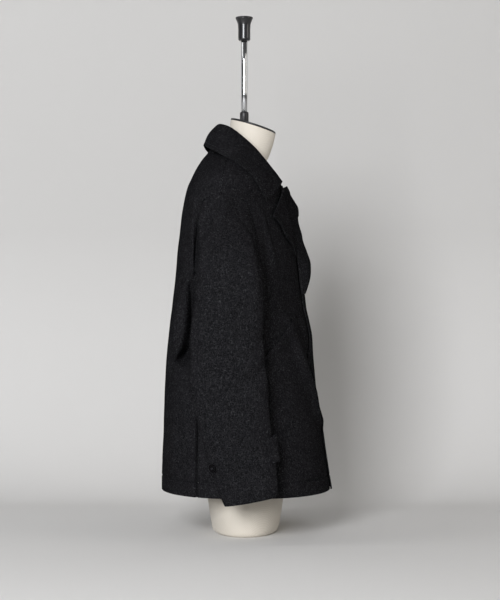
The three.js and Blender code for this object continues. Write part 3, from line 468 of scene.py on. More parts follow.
def outline_curve(closed):
    """Smooth closed outline of the armhole as (level, Y)."""
    p = np.array(closed, float)
    n = len(p)
    out = []
    for i in range(n):
        p0, p1, p2, p3 = p[i - 1], p[i], p[(i + 1) % n], p[(i + 2) % n]
        for t in np.linspace(0, 1, 20, endpoint=False):
            out.append(
                0.5 * (2 * p1 + (p2 - p0) * t + (2 * p0 - 5 * p1 + 4 * p2 - p3) * t * t
                       + (3 * p1 - p0 - 3 * p2 + p3) * t ** 3)
            )
    return np.array(out)


ARMHOLE = outline_curve(ARMHOLE_FRONT + ARMHOLE_BACK[-2:0:-1])
TOP_AT = int(np.argmax(ARMHOLE[:, 0]))


def armhole_y(z, back):
    """Y of the armhole at a level, on its back or its front half."""
    half = ARMHOLE[TOP_AT:][::-1] if back else ARMHOLE[: TOP_AT + 1]
    levels = np.maximum.accumulate(half[:, 0])
    return float(np.interp(z, levels, half[:, 1]))


# Panels of the body.
def seam_y(z, back):
    """Y of the side seam, and of the armhole above it."""
    return smooth_at(SIDE_SEAM, z, 1) if z <= UNDERARM_Z + 1 else armhole_y(z, back)


def back_edge(z):
    """Girth of the back's edge at a level."""
    if z > NECK_POINT_Z:
        return girth_at_back_x(z, linear_at(BACK_NECK, z))
    if z >= ARMHOLE_TOP_Z:
        return girth_at_y(z, smooth_at(BODY, z, MID_Y))
    return girth_at_y(z, seam_y(z, True))


def front_outer_edge(z):
    """Girth of a front's outer edge at a level."""
    if z >= ARMHOLE_TOP_Z:
        return girth_at_y(z, smooth_at(BODY, z, MID_Y))
    return girth_at_y(z, seam_y(z, False))


def roll_x(z):
    """X of the front edge, or of the fold of the lapel above the break."""
    return OVERLAP_X if z <= BREAK_Z else smooth_at(ROLL_LINE, z, 1)


def front_edge(z):
    """Girth of a front's free edge at a level."""
    x = roll_x(z)
    return -girth_at_front_x(z, x) if x > 0 else girth_at_front_x(z, -x)


def left_lift(along, z):
    """How far the left front stands out where it lies over the right one."""
    across = 1 - smooth_step(44, 66, along)
    return (WALL + OVERLAP_GAP) * across * (1 - smooth_step(585, 650, z))


# How round the edges are: at a seam, at the ends of a sleeve, and at a free edge.
SEAM_BULGE, SLEEVE_BULGE, EDGE_BULGE = 0.4, 0.5, 0.8
RIM = WALL / 2 * SEAM_BULGE + 0.07


def body_levels(top, step=4.2):
    """Levels of a panel's rows: closer at the hem, its stitch line, the underarm and the top."""
    hem = HEM_Z + RIM
    low = [hem, hem + 0.5, hem + 1.3, hem + 2.6, hem + 4.5, hem + 7.5]
    stitch = [HEM_Z + STITCH_RISE + d for d in (-4, -2.2, -1.2, -0.5, 0, 0.5, 1.2, 2.2, 4)]
    first = list(np.arange(hem + 11, HEM_Z + 23, step))
    middle = list(np.arange(HEM_Z + 36, 514, step))
    arm = list(np.arange(516, 678, 3.0))
    high = list(np.arange(679, top - 4, 3.4))
    return np.array(low + first + stitch + middle + arm + high + [top - 3, top - 1.5, top - 0.6, top])


def hem_groove(z):
    """Groove along the stitch line of the hem."""
    return -2.2 * math.exp(-(((z - HEM_Z - STITCH_RISE) / 1.6) ** 2))


def side_dip(z, from_edge):
    """Groove that the pressed side seam leaves below the armhole."""
    return -1.5 * np.exp(-((from_edge / 2.4) ** 2)) * float(1 - smooth_step(490, 512, z))


def seam_pucker(z, from_edge, phase):
    """Small uneven swell along a seam, fading over eight millimetres."""
    wave = math.sin(z / 2.9 + phase + 1.4 * math.sin(z / 11)) * (0.6 + 0.4 * math.sin(z / 17 + phase))
    return 0.22 * wave * np.exp(-np.abs(from_edge) / 6)


def even_wall(outer, inner):
    """Inner face moved so that the cloth keeps its thickness on steep folds, away from its side edges."""
    normals = grid_normals(outer, False)
    if np.sum(normals * (outer - inner)) < 0:
        normals = -normals
    column = np.arange(outer.shape[1])
    share = np.clip((np.minimum(column, column[::-1]) - 7) / 6.0, 0, 1)[None, :, None]
    return inner + share * (outer - normals * WALL - inner)


def back_grid_pair():
    """Outer and inner points of the back, from one side seam to the other."""
    levels = body_levels(NECK_BACK_Z - RIM)
    outer, inner = [], []
    for z in levels:
        total = section(z)[2][-1]
        start = back_edge(z) + RIM
        width = 2 * (total - start)
        s = start + BACK_SPREAD * width
        edge = np.minimum(s - start, start + width - s)
        dip = side_dip(z, edge)
        out = hem_groove(z) + seam_pucker(z, edge, 0.4) + dip
        outer.append(coat_row(RIGHT, z, s, out))
        inner.append(coat_row(RIGHT, z, s, dip - WALL))
    outer = np.array(outer)
    return outer, even_wall(outer, np.array(inner))


def unit_spread(count, ends):
    """Shares from 0 to 1 with extra ones close to both ends."""
    ends = np.array(ends)
    middle = np.linspace(ends[-1], 1 - ends[-1], count)
    return np.concatenate([ends[:-1], middle, 1 - ends[:-1][::-1]])


BACK_SPREAD = unit_spread(150, (0, 0.0012, 0.003, 0.006, 0.011, 0.018))
FRONT_SPREAD = unit_spread(66, (0, 0.0018, 0.0045, 0.009, 0.016, 0.026))


def front_grid_pair(side):
    """Outer and inner points of one front, from its edge to the side seam."""
    levels = body_levels(NECK_POINT_Z - RIM)
    outer, inner = [], []
    for z in levels:
        a, b = front_edge(z) + WALL / 2, front_outer_edge(z) - RIM
        s = a + FRONT_SPREAD * (b - a)
        lift = left_lift(s, z) if side > 0 else 0
        dip = side_dip(z, b - s)
        out = hem_groove(z) + seam_pucker(z, b - s, 0.4) + dip
        outer.append(coat_row(side, z, s, out + lift))
        inner.append(coat_row(side, z, s, dip + lift - WALL))
    outer = np.array(outer)
    return outer, even_wall(outer, np.array(inner))


# Sleeves.
def armhole_ring(count):
    """Points (level, Y, angle) of the armhole, seen from its middle."""
    centre = np.array([600.0, 34.0])
    d = ARMHOLE - centre
    angle = np.unwrap(np.arctan2(d[:, 0], -d[:, 1]))
    order = np.argsort(np.mod(angle, 2 * math.pi))
    a = np.mod(angle, 2 * math.pi)[order]
    r = np.hypot(d[:, 0], d[:, 1])[order]
    want = 2 * math.pi * np.arange(count) / count
    reach = np.interp(want, np.concatenate([a - 2 * math.pi, a, a + 2 * math.pi]), np.tile(r, 3))
    reach = reach - 0.5
    return centre[0] + np.sin(want) * reach, centre[1] - np.cos(want) * reach, want


def sleeve_values(z):
    """Sizes of the right sleeve at a level."""
    return [smooth_at(SLEEVE, z, k) for k in range(1, 7)]


def sleeve_points(z, angle, out=0.0):
    """Points round the right sleeve at a level, moved out by out."""
    front, back, x, thick, tilt, power = sleeve_values(z)
    c, s = np.cos(angle), np.sin(angle)
    half = (back - front) / 2 + out
    y = (front + back) / 2 - half * np.sign(c) * np.abs(c) ** (2 / power)
    px = x - (thick + out) * np.sign(s) * np.abs(s) ** (2 / power)
    pz = z - tilt * (y - (front + back) / 2)
    return np.stack([px, y, pz + np.zeros_like(y)], 1)


SLEEVE_COLUMNS = 112
LEFT_CREASE_SEED = 23
# Creases of a sleeve: width, height, path as (degrees round from the front, level).
SLEEVE_CREASES = [
    (9, -11.0, [(142, 652), (152, 622), (158, 590), (162, 550), (168, 505)]),
    (10, 6.0, [(128, 650), (134, 612), (140, 560), (146, 520)]),
    (9, -7.0, [(104, 655), (118, 630), (126, 600)]),
    (12, 2.0, [(88, 655), (92, 620), (98, 585)]),
    (11, -4.0, [(28, 612), (22, 570), (18, 520), (20, 470)]),
    (13, 3.0, [(46, 590), (42, 540), (40, 480)]),
    (12, -3.0, [(8, 400), (30, 374), (58, 352)]),
    (11, 2.4, [(4, 372), (28, 350), (54, 332)]),
    (12, -3.2, [(2, 350), (26, 326), (60, 306), (84, 300)]),
    (12, 2.2, [(0, 318), (22, 298), (48, 284)]),
    (13, -2.4, [(176, 366), (150, 344), (120, 330)]),
    (14, 2.4, [(180, 330), (156, 314), (128, 300)]),
    (15, -2.6, [(186, 290), (160, 262), (136, 236)]),
    (13, 2.0, [(140, 470), (132, 420), (126, 370)]),
    (14, -2.0, [(100, 500), (104, 440), (98, 380)]),
    (14, -2.2, [(70, 250), (78, 210), (74, 170)]),
    (13, 2.0, [(112, 240), (106, 200), (110, 150)]),
    (12, -2.0, [(28, 240), (34, 210), (30, 172)]),
    (12, -2.6, [(200, 520), (206, 460), (202, 400)]),
    (12, 2.4, [(232, 480), (240, 420), (236, 360)]),
    (12, -2.6, [(330, 400), (310, 372), (290, 350)]),
    (11, 2.4, [(334, 360), (314, 340), (292, 322)]),
    (13, -2.2, [(262, 300), (270, 240), (266, 180)]),
]


# Folds of the outer face of a sleeve: width, height, path as (Y, level).
SLEEVE_FOLDS = [
    (7, -10.0, [(44, 662), (56, 642), (67, 625), (74, 603), (79, 580)]),
    (8, 5.0, [(34, 652), (46, 622), (56, 590), (62, 550)]),
    (6, 3.0, [(70, 645), (82, 622), (88, 606)]),
    (8, -4.0, [(-16, 655), (-24, 620), (-32, 586), (-38, 545)]),
]


def sleeve_grid(crease_seed, side):
    """Outer and inner points of a sleeve, laid on the right; its head follows the armhole on side."""
    levels_z, levels_y, angle = armhole_ring(SLEEVE_COLUMNS)
    head = np.concatenate(
        [coat_row(side, z, [girth_at_y(z, y)], -WALL * 0.35) for z, y in zip(levels_z, levels_y)]
    )
    head[:, 0] *= -side
    first = sleeve_points(SLEEVE_TOP_Z, angle)
    up = np.maximum(0, np.sin(angle))[:, None]
    low = np.maximum(0, -np.sin(angle))[:, None]
    span = np.linalg.norm(head - first, axis=1)[:, None]
    start = np.concatenate([-0.35 - 0.9 * low - 0.35 * (1 - up - low), 0 * up, -0.95 * up], 1)
    start = start * np.maximum(26, span * 0.8)
    end = np.array([[0, 0, -1.0]]) * np.maximum(14, span * 0.75)
    rows = []
    head_shares = np.concatenate([[0, 0.006, 0.014, 0.026], np.linspace(0.042, 1, 40)[:-1]])
    for t in head_shares:
        t2, t3 = t * t, t * t * t
        leaving = (2 * t3 - 3 * t2 + 1) * head + (t3 - 2 * t2 + t) * start
        rows.append(leaving + (3 * t2 - 2 * t3) * first + (t3 - t2) * end)
    hem = SLEEVE_HEM_Z + WALL / 2
    stitch = [hem + SLEEVE_STITCH_RISE + d for d in (4, 2.2, 1.2, 0.5, 0, -0.5, -1.2, -2.2, -4)]
    levels = list(np.arange(SLEEVE_TOP_Z, hem + 31, -3.6)) + stitch
    levels += list(np.arange(hem + 20, hem + 9, -3.6))
    levels += [hem + 7.5, hem + 4.5, hem + 2.6, hem + 1.3, hem + 0.5, hem]
    for z in levels:
        rows.append(sleeve_points(z, angle))
    grid = np.array(rows)
    stitch_groove = [-0.5 * math.exp(-(((z - hem - SLEEVE_STITCH_RISE) / 1.1) ** 2)) for z in levels]
    grooves = np.array([0.0] * len(head_shares) + stitch_groove)
    normals = grid_normals(grid, True)
    middle = grid.mean(axis=1, keepdims=True)
    if np.sum(normals * (grid - middle)) < 0:
        normals = -normals
    flat = grid.reshape(-1, 3)
    height = waviness(flat + 400 + crease_seed, 0.9) * 0.9
    creases = []
    for width, tall, path in SLEEVE_CREASES:
        centre = []
        for degrees, z in path:
            z = z + crease_seed * 0.3
            row = int(np.argmin(np.abs(grid[:, :, 2].mean(axis=1) - z)))
            if z > SLEEVE_TOP_Z:
                column = int(round(degrees / 360 * SLEEVE_COLUMNS)) % SLEEVE_COLUMNS
                row = int(np.argmin(np.abs(grid[: len(head_shares) + 1, column, 2] - z)))
            centre.append(grid[row, int(round(degrees / 360 * SLEEVE_COLUMNS)) % SLEEVE_COLUMNS])
        creases.append((width, tall, centre))
    for width, tall, path in SLEEVE_FOLDS:
        far = 1000.0 * (flat[:, 0] > -205)
        centre = [flat[int(np.argmin(np.hypot(flat[:, 1] - y, flat[:, 2] - z) + far))] for y, z in path]
        creases.append((width, tall, centre))
    for width, tall, centre in creases:
        d, share = path_distance(flat, np.array(centre))
        ends = 0.25 + 0.75 * np.sin(math.pi * (0.08 + 0.84 * share))
        height = height + tall * ends * np.exp(-((d / width) ** 2))
    height = height.reshape(grid.shape[:2])
    # The seam between the top and under sleeve, down the inner back, and the pull of the head seam.
    from_head = np.arange(len(grid))
    fade = np.clip(from_head / 6.0, 0, 1)[:, None]
    fade = fade * np.clip((len(grid) - 1 - from_head) / 9.0, 0.25, 1)[:, None]
    height = height * fade + grooves[:, None]
    seam_column = int(round(208 / 360 * SLEEVE_COLUMNS))
    across = (np.arange(SLEEVE_COLUMNS) - seam_column)[None, :]
    height -= 0.7 * np.exp(-((across / 0.8) ** 2)) * fade
    head_pull = np.exp(-from_head / 5.0)[:, None] * np.clip(from_head / 2.0, 0, 1)[:, None]
    ease = 0.55 * np.sin(angle * 23 + 0.8 * np.sin(angle * 5)) * np.clip(np.sin(angle) + 0.2, 0, 1)
    height += head_pull * ease[None, :]
    outer = grid + normals * height[:, :, None]
    return outer, outer - normals * WALL


def grid_normals(grid, ring):
    """Unit normals of a grid of points."""
    if ring:
        across = np.roll(grid, -1, 1) - np.roll(grid, 1, 1)
    else:
        across = np.gradient(grid, axis=1)
    n = np.cross(across, np.gradient(grid, axis=0))
    return n / np.maximum(np.linalg.norm(n, axis=-1, keepdims=True), 1e-9)


# Lapels.
LAPEL_LOW = {RIGHT: 557, LEFT: 480}
LAPEL_POINT_Z = 636


def lapel_edge_y(z):
    """Y of the lapel's outer edge."""
    return linear_at(LAPEL_EDGE, z) if z >= LAPEL_POINT_Z else smooth_at(LAPEL_EDGE, z, 1)


def lapel_grids(side):
    """Outer and inner points of a lapel, from the turn of its fold to its edge."""
    low = LAPEL_LOW[side]
    levels = np.concatenate([[low, low + 0.7, low + 1.8, low + 3.4], np.arange(low + 5.5, 634, 2.8)])
    levels = np.concatenate([levels, [634.4, 636, 637.6], np.arange(640, 694, 2.6), [694.5, 696, 697]])
    mid = WALL / 2
    outer, inner = [], []
    for z in levels:
        start, first = front_edge(z), 0.0
        if side < 0:
            clear = roll_x(z) + 9
            start = max(start, girth_at_front_x(z, clear) if clear > 0 else -girth_at_front_x(z, -clear))
            first = 60 * float(1 - smooth_step(572, 590, z))
            reach = max(6, girth_at_y(z, lapel_edge_y(z)) - start)
        else:
            reach = linear_at(LEFT_LAPEL, z)
        reach -= WALL / 2
        for radius, out, rows in ((mid + LAY_GAP + WALL, WALL, outer), (mid + LAY_GAP, 0.0, inner)):
            turn = np.radians(np.linspace(first, 90, 9)[:-1])
            base = left_lift(np.array([start]), z)[0] if side > 0 else 0.0
            nose = [
                coat_row(side, z, [start - radius * math.cos(a)], base - mid + radius * math.sin(a))
                for a in turn
            ]
            t = unit_spread(24, (0, 0.012, 0.03))
            s = start + 0.5 + (reach - 0.5) * t
            extra = np.zeros(len(t))
            if side > 0:
                bulge = smooth_at(LEFT_LAPEL, z, 3) * np.sin(math.pi * t)
                extra = smooth_at(LEFT_LAPEL, z, 2) * t**1.15 + bulge + left_lift(s, z)
            else:
                extra = 1.2 * np.sin(math.pi * np.clip(t, 0, 1)) * math.sin((z - 556) / 22)
                extra = np.maximum(0, extra) + RIGHT_LAPEL_LIFT * t**3 * float(smooth_step(566, 600, z))
            press = -0.5 * np.exp(-(((1 - t) * reach - 6) / 0.9) ** 2) if out else 0
            flat = coat_row(side, z, s, LAY_GAP + out + extra + press)
            if side > 0:
                flat[:, 2] += LEFT_CORNER_RISE * t * float(smooth_step(682, 697, z))
            rows.append(np.concatenate(nose + [flat]))
    return np.array(outer), np.array(inner)


# Collar.
def push_clear(p, margin):
    """Point moved out of the coat below the neck point, to margin from it."""
    if p[2] > NECK_POINT_Z + 20:
        return p
    fade = float(smooth_step(NECK_POINT_Z + 5, NECK_POINT_Z + 20, p[2]))
    mid = smooth_at(BODY, p[2], MID_Y)
    front = p[1] < mid
    depth = abs(smooth_at(BODY, p[2], FRONT if front else BACK) - mid)
    power = smooth_at(BODY, p[2], FRONT_POWER if front else BACK_POWER)
    half = smooth_at(BODY, p[2], HALF)
    total = (abs(p[0]) / half) ** power + (abs(p[1] - mid) / depth) ** power
    reach = math.hypot(p[0], p[1] - mid)
    clear = reach / total ** (1 / power) + margin
    if reach >= clear:
        return p
    want = clear + (reach - clear) * fade
    return np.array([p[0] * want / reach, mid + (p[1] - mid) * want / reach, p[2]])


def neck_seam(side, q, neck_z, out):
    """Point where station q of the collar meets the neck seam."""
    if q > 4:
        return coat_row(side, neck_z, [front_edge(neck_z) - SEAM_GAP], out)[0]
    z = neck_z + 1.6 + 3.4 * float(smooth_step(0.8, 2.4, q))
    if q < 0.6:
        return coat_row(side, z, [section(z)[2][-1] - 28 * q], out)[0]
    return coat_row(side, z, [girth_at_back_x(z, linear_at(BACK_NECK, neck_z))], out)[0]


COLLAR_FOLD = 4.6
FALL_POINTS = 22


def collar_profile(q, side, out):
    """Points of the collar at station q: edge, fall, fold, stand."""
    value = lambda k: smooth_at(COLLAR, q, k)
    fold = np.array([side * value(2), value(3), value(4)])
    neck_z = NECK_BACK_Z if q < 0.6 else value(1)
    neck, neck_face = neck_seam(side, q, neck_z, -WALL / 2), neck_seam(side, q, neck_z, -out)
    edge = np.array([side * value(5), value(6), value(7)])
    stand = neck - fold
    outward = edge - neck
    outward = outward - stand * (outward @ stand) / (stand @ stand)
    outward /= np.linalg.norm(outward)
    up = -stand / np.linalg.norm(stand)
    radius = COLLAR_FOLD - (WALL - out)
    centre = fold - up * COLLAR_FOLD
    tangent = edge - centre
    tangent /= np.linalg.norm(tangent)
    normal = np.cross(np.cross(outward, up), tangent)
    normal /= np.linalg.norm(normal)
    if normal @ outward < 0:
        normal = -normal
    shoulder = centre + normal * COLLAR_FOLD
    length = np.linalg.norm(shoulder - edge)
    points = []
    for t in np.concatenate([[0, 0.01, 0.03, 0.06], np.linspace(0.1, 1, FALL_POINTS - 3)[:-1]]):
        t = (1.4 + t * (length - 1.4)) / length
        swell = 0.7 * math.sin(q * 2.1 + 4 * t + side) * t * (1 - t) * 2
        press = -0.5 * math.exp(-(((t * length - 7) / 0.9) ** 2)) if out else 0
        p = edge + (shoulder - edge) * t + normal * (4 * math.sin(math.pi * t) - WALL)
        points.append(push_clear(p, 4) + normal * (out + swell + press))
    start = math.atan2(normal @ up, normal @ outward)
    for k in range(13):
        a = start + (math.pi - start) * k / 12
        points.append(centre + outward * radius * math.cos(a) + up * radius * math.sin(a))
    top = points[-1]
    for t in (0.2, 0.4, 0.6, 0.8, 0.94):
        points.append(top + (neck_face - top) * t)
    return np.array(points)


def collar_grids():
    """Outer and inner points of the collar, round the neck from right to left."""
    q = np.concatenate([np.linspace(0, 7.86, 96), [7.9, 7.94, 7.965]])
    grids = []
    for out in (WALL, 0.0):
        right = [collar_profile(v, RIGHT, out) for v in q[::-1]]
        grids.append(np.array(right + [collar_profile(v, LEFT, out) for v in q[1:]]))
    return grids


# Pocket welts, cuff tabs and buttons.
POCKET_TOP, POCKET_LOW, POCKET_WIDTH, POCKET_THICK = (-89, 428), (2, 320), 26, 2.4


def welt_grids(side):
    """Outer and inner points of a slant pocket welt."""
    a0, a1 = girth_at_y(POCKET_TOP[1], POCKET_TOP[0]), girth_at_y(POCKET_LOW[1], POCKET_LOW[0])
    run = np.array([a1 - a0, POCKET_LOW[1] - POCKET_TOP[1]])
    across = np.array([run[1], -run[0]]) / np.linalg.norm(run)
    grids = []
    for out in (POCKET_THICK, 0.0):
        rows = []
        for i in unit_spread(8, (0, 0.02, 0.05)):
            row = []
            for j in unit_spread(30, (0, 0.005, 0.012)):
                i2, j2 = 0.045 + 0.91 * i, 0.01 + 0.98 * j
                s = a0 + run[0] * j2 + across[0] * POCKET_WIDTH * i2
                z = POCKET_TOP[1] + run[1] * j2 + across[1] * POCKET_WIDTH * i2
                flat = float(smooth_step(0.35, 1, i2))
                off = (LAY_GAP + 1) * (1 - 0.8 * flat) + out * (1 - 0.75 * flat)
                row.append(coat_row(side, z, [s], off)[0])
            rows.append(row)
        grids.append(np.array(rows))
    return grids


# Levels of the cuff tab's edges, where it starts round the sleeve and how far it goes, in degrees.
TAB_LOW, TAB_HIGH, TAB_FIRST, TAB_SPAN = 147, 196, -70, 107


def tab_grids():
    """Outer and inner points of the right cuff tab."""
    grids = []
    for out in (WALL, 0.0):
        rows = []
        for share in unit_spread(14, (0, 0.012, 0.03)):
            row = []
            for t in unit_spread(46, (0, 0.006, 0.014)):
                share2, t2 = 0.03 + 0.94 * share, 0.012 + 0.976 * t
                degrees = TAB_FIRST + TAB_SPAN * t2
                top = TAB_HIGH + 5 * math.exp(-(((degrees - 4) / 14) ** 2))
                proud = 6 * math.sin(math.pi * t2) ** 1.5
                z = TAB_LOW + (top - TAB_LOW) * share2
                edge = min(share2, 1 - share2) * (top - TAB_LOW)
                press = -0.4 * math.exp(-(((edge - 5) / 0.9) ** 2)) if out else 0
                off = LAY_GAP - 0.2 + proud + out + press
                row.append(sleeve_points(z, np.array([math.radians(degrees)]), off)[0])
            rows.append(row)
        grids.append(np.array(rows))
    return grids


# Level and degrees round the sleeve of the button, its gap, the height of its middle and its holes' offset.
BUTTON_Z, BUTTON_ANGLE, BUTTON_GAP, BUTTON_MIDDLE, HOLE_OFFSET = 158, 153, 0.5, 2.15, 1.55


def button_frame():
    """Place of the cuff button on the right sleeve: point, outward, across and up directions."""
    z, a = BUTTON_Z, math.radians(BUTTON_ANGLE)
    at = sleeve_points(z, np.array([a]))[0]
    round_ = sleeve_points(z, np.array([a + 0.05]))[0] - sleeve_points(z, np.array([a - 0.05]))[0]
    up = sleeve_points(z + 6, np.array([a]))[0] - sleeve_points(z - 6, np.array([a]))[0]
    up /= np.linalg.norm(up)
    face = np.cross(round_, up)
    face /= np.linalg.norm(face)
    if face[0] > 0:
        face = -face
    across = np.cross(up, face)
    return at, face, across / np.linalg.norm(across), up


def button_mesh(name, mirror, material):
    """Round button with a raised rim and four holes sunk in its middle."""
    at, face, across, up = button_frame()
    rings = [
        (0.05, -0.1), (7.4, -0.1), (8.3, 0.1), (8.9, 0.7), (9.0, 1.4), (8.8, 2.3), (8.2, 2.9), (7.6, 3.05),
        (6.9, 2.9), (6.3, 2.4), (5.6, BUTTON_MIDDLE),
    ]
    rings += [(r, BUTTON_MIDDLE) for r in np.linspace(5.2, 0.12, 22)]
    columns = 96
    points = []
    for r, h in rings:
        for j in range(columns):
            a = 2 * math.pi * j / columns
            x, y = r * math.cos(a), r * math.sin(a)
            sink = 0.0
            if h == BUTTON_MIDDLE:
                d = math.hypot(abs(x) - HOLE_OFFSET, abs(y) - HOLE_OFFSET)
                sink = -1.5 * float(1 - smooth_step(0.55, 0.85, d))
            points.append(at + face * (BUTTON_GAP + h + sink) + across * x + up * y)
    points = np.array(points)
    if mirror:
        points[:, 0] *= -1
    faces = grid_faces(len(rings), columns, 0, True, False)
    for first, flip in ((0, True), ((len(rings) - 1) * columns, False)):
        loop = [first + j for j in range(columns)]
        faces.append(tuple(loop[::-1] if flip else loop))
    obj = mesh_object(name, points, faces, material)
    turn_out(obj)
    return obj


def mirror_x(grid):
    """Points on the other side of the coat."""
    return grid * np.array([-1.0, 1.0, 1.0])


# Dress form.
def form_ring(z, columns=128):
    """Ring of the torso at one level."""
    half, front, back, tilt = (smooth_at(TORSO, z, k) for k in range(1, 5))
    front_power = 2.0 if z > 740 else 2.2 - 0.6 * float(smooth_step(420, 620, z))
    back_power = 2.0 if z > 700 else 2.2
    mid = (front + back) / 2
    a = 2 * math.pi * np.arange(columns) / columns
    c, s = np.cos(a), np.sin(a)
    power = np.where(c > 0, front_power, back_power)
    x = half * np.sign(s) * np.abs(s) ** (2 / power)
    y = mid - (back - front) / 2 * np.sign(c) * np.abs(c) ** (2 / power)
    return np.stack([x, y, z + tilt * (y - mid)], 1)


def ring_body(name, rings, material):
    """Closed body through rings of points."""
    rings = np.array(rings)
    count, columns = rings.shape[:2]
    faces = grid_faces(count, columns, 0, True, False)
    faces.append(tuple(range(columns))[::-1])
    faces.append(tuple((count - 1) * columns + j for j in range(columns)))
    obj = mesh_object(name, rings.reshape(-1, 3), faces, material)
    turn_out(obj)
    return obj


def lathe_rings(profile, columns=64, y=NECK_Y):
    """Rings of a turned shape from its radius and level."""
    a = 2 * math.pi * np.arange(columns) / columns
    return [np.stack([r * np.cos(a), y + r * np.sin(a), np.full(columns, float(z))], 1) for r, z in profile]


# Materials.
def linear(hex_colour):
    """Linear RGBA of an sRGB hex colour."""
    parts = [int(hex_colour[i : i + 2], 16) / 255 for i in (1, 3, 5)]
    return [v / 12.92 if v <= 0.04045 else ((v + 0.055) / 1.055) ** 2.4 for v in parts] + [1.0]


def add_node(tree, kind, settings=None, **inputs):
    """Node with settings and inputs; an input is a value or another node's output."""
    node = tree.nodes.new(kind)
    for key, value in (settings or {}).items():
        setattr(node, key, value)
    for key, value in inputs.items():
        numbered = key[0] == "_" and key[1:].isdigit()
        socket = node.inputs[int(key[1:]) if numbered else key.replace("_", " ")]
        if isinstance(value, bpy.types.NodeSocket):
            tree.links.new(value, socket)
        else:
            socket.default_value = value
    return node


def new_material(name):
    """Empty node material with its object coordinates in metres."""
    material = bpy.data.materials.new(name)
    material.use_nodes = True
    tree = material.node_tree
    tree.nodes.clear()
    where = tree.nodes.new("ShaderNodeTexCoord").outputs["Object"]
    return material, tree, where


def finish_material(tree, bsdf):
    """Ties the shader to the material's output."""
    out = tree.nodes.new("ShaderNodeOutputMaterial")
    tree.links.new(bsdf.outputs["BSDF"], out.inputs["Surface"])


def noise(tree, where, size_mm, detail=3.0, roughness=0.6, distortion=0.0):
    """Noise whose cells are about size_mm across."""
    return add_node(
        tree, "ShaderNodeTexNoise", Vector=where, Scale=1000 / size_mm, Detail=detail, Roughness=roughness,
        Distortion=distortion,
    ).outputs["Fac"]


def spread_value(tree, value, low, high, to_low=0.0, to_high=1.0):
    """Value mapped from one range to another."""
    return add_node(
        tree, "ShaderNodeMapRange", Value=value, From_Min=low, From_Max=high, To_Min=to_low, To_Max=to_high
    ).outputs["Result"]


def mix_colour(tree, factor, a, b, blend="MIX"):
    """Mix of two colours."""
    node = add_node(tree, "ShaderNodeMix", {"data_type": "RGBA", "blend_type": blend})
    for index, value in ((0, factor), (6, a), (7, b)):
        if isinstance(value, bpy.types.NodeSocket):
            tree.links.new(value, node.inputs[index])
        else:
            node.inputs[index].default_value = value
    return node.outputs[2]


def wool_melton(name="wool_melton_charcoal", dark="#0c0c0d", middle="#131315", fleck="#707074"):
    """Heavy milled wool: felted dark face with short pale fibres, dull from every side."""
    material, tree, where = new_material(name)
    patches = spread_value(tree, noise(tree, where, 34, 3, 0.6), 0.35, 0.68)
    felt = spread_value(tree, noise(tree, where, 3.2, 4, 0.7, 0.4), 0.3, 0.72)
    base = mix_colour(tree, felt, linear(dark), linear(middle))
    base = mix_colour(tree, spread_value(tree, patches, 0, 1, 0, 0.35), base, linear("#19191b"))
    # Single fibres are too fine to show, so tufts of them are drawn about 2 mm across, along and across.
    stretched = add_node(tree, "ShaderNodeMapping", Vector=where, Scale=(1.0, 1.0, 0.38)).outputs["Vector"]
    hairs = spread_value(tree, noise(tree, stretched, 1.7, 2, 0.8, 1.2), 0.52, 0.70)
    cross = add_node(tree, "ShaderNodeMapping", Vector=where, Scale=(0.42, 0.42, 1.0)).outputs["Vector"]
    lint = spread_value(tree, noise(tree, cross, 2.0, 2, 0.8, 1.5), 0.55, 0.72)
    base = mix_colour(tree, spread_value(tree, hairs, 0, 1, 0, 0.15), base, linear(fleck))
    base = mix_colour(tree, spread_value(tree, lint, 0, 1, 0, 0.125), base, linear("#8a8a8c"))
    rough = spread_value(tree, felt, 0, 1, 0.88, 0.98)
    nap = noise(tree, where, 0.9, 3, 0.7)
    bump = add_node(tree, "ShaderNodeBump", Height=nap, Strength=0.55, Distance=0.0007)
    bump2 = add_node(tree, "ShaderNodeBump", Height=felt, Strength=0.45, Distance=0.0006)
    tree.links.new(bump.outputs["Normal"], bump2.inputs["Normal"])
    bsdf = add_node(
        tree, "ShaderNodeBsdfPrincipled", Base_Color=base, Roughness=rough, Normal=bump2.outputs["Normal"],
        Specular_IOR_Level=0.0,
    )
    finish_material(tree, bsdf)
    return material


def linen():
    """Cream linen stretched on the form: fine crossed threads with a few thicker ones."""
    material, tree, where = new_material("linen_cream")
    # The threads are drawn 0.9 mm apart, about twice as coarse as real ones, so that they show.
    warp, weft = (
        add_node(
            tree, "ShaderNodeTexWave", {"bands_direction": direction}, Vector=where, Scale=1000 / 0.9 / 6.283,
            Distortion=1.2, Detail=2.0, Detail_Scale=2.5,
        ).outputs["Fac"]
        for direction in ("Z", "DIAGONAL")
    )
    weave = add_node(tree, "ShaderNodeMath", {"operation": "MULTIPLY"}, _0=warp, _1=weft).outputs["Value"]
    long_z = add_node(tree, "ShaderNodeMapping", Vector=where, Scale=(1.0, 1.0, 0.08)).outputs["Vector"]
    slub = spread_value(tree, noise(tree, long_z, 1.6, 2, 0.6), 0.55, 0.75)
    cloud = spread_value(tree, noise(tree, where, 60, 3, 0.6), 0.3, 0.7)
    base = mix_colour(tree, weave, linear("#cbc4b8"), linear("#d8d2c8"))
    base = mix_colour(tree, spread_value(tree, slub, 0, 1, 0, 0.35), base, linear("#c6bba7"))
    base = mix_colour(tree, spread_value(tree, cloud, 0, 1, 0, 0.25), base, linear("#d0c9bb"))
    bump = add_node(tree, "ShaderNodeBump", Height=weave, Strength=0.35, Distance=0.0003)
    bsdf = add_node(
        tree, "ShaderNodeBsdfPrincipled", Base_Color=base, Roughness=0.88, Normal=bump.outputs["Normal"],
        Sheen_Weight=0.1, Specular_IOR_Level=0.25,
    )
    finish_material(tree, bsdf)
    return material


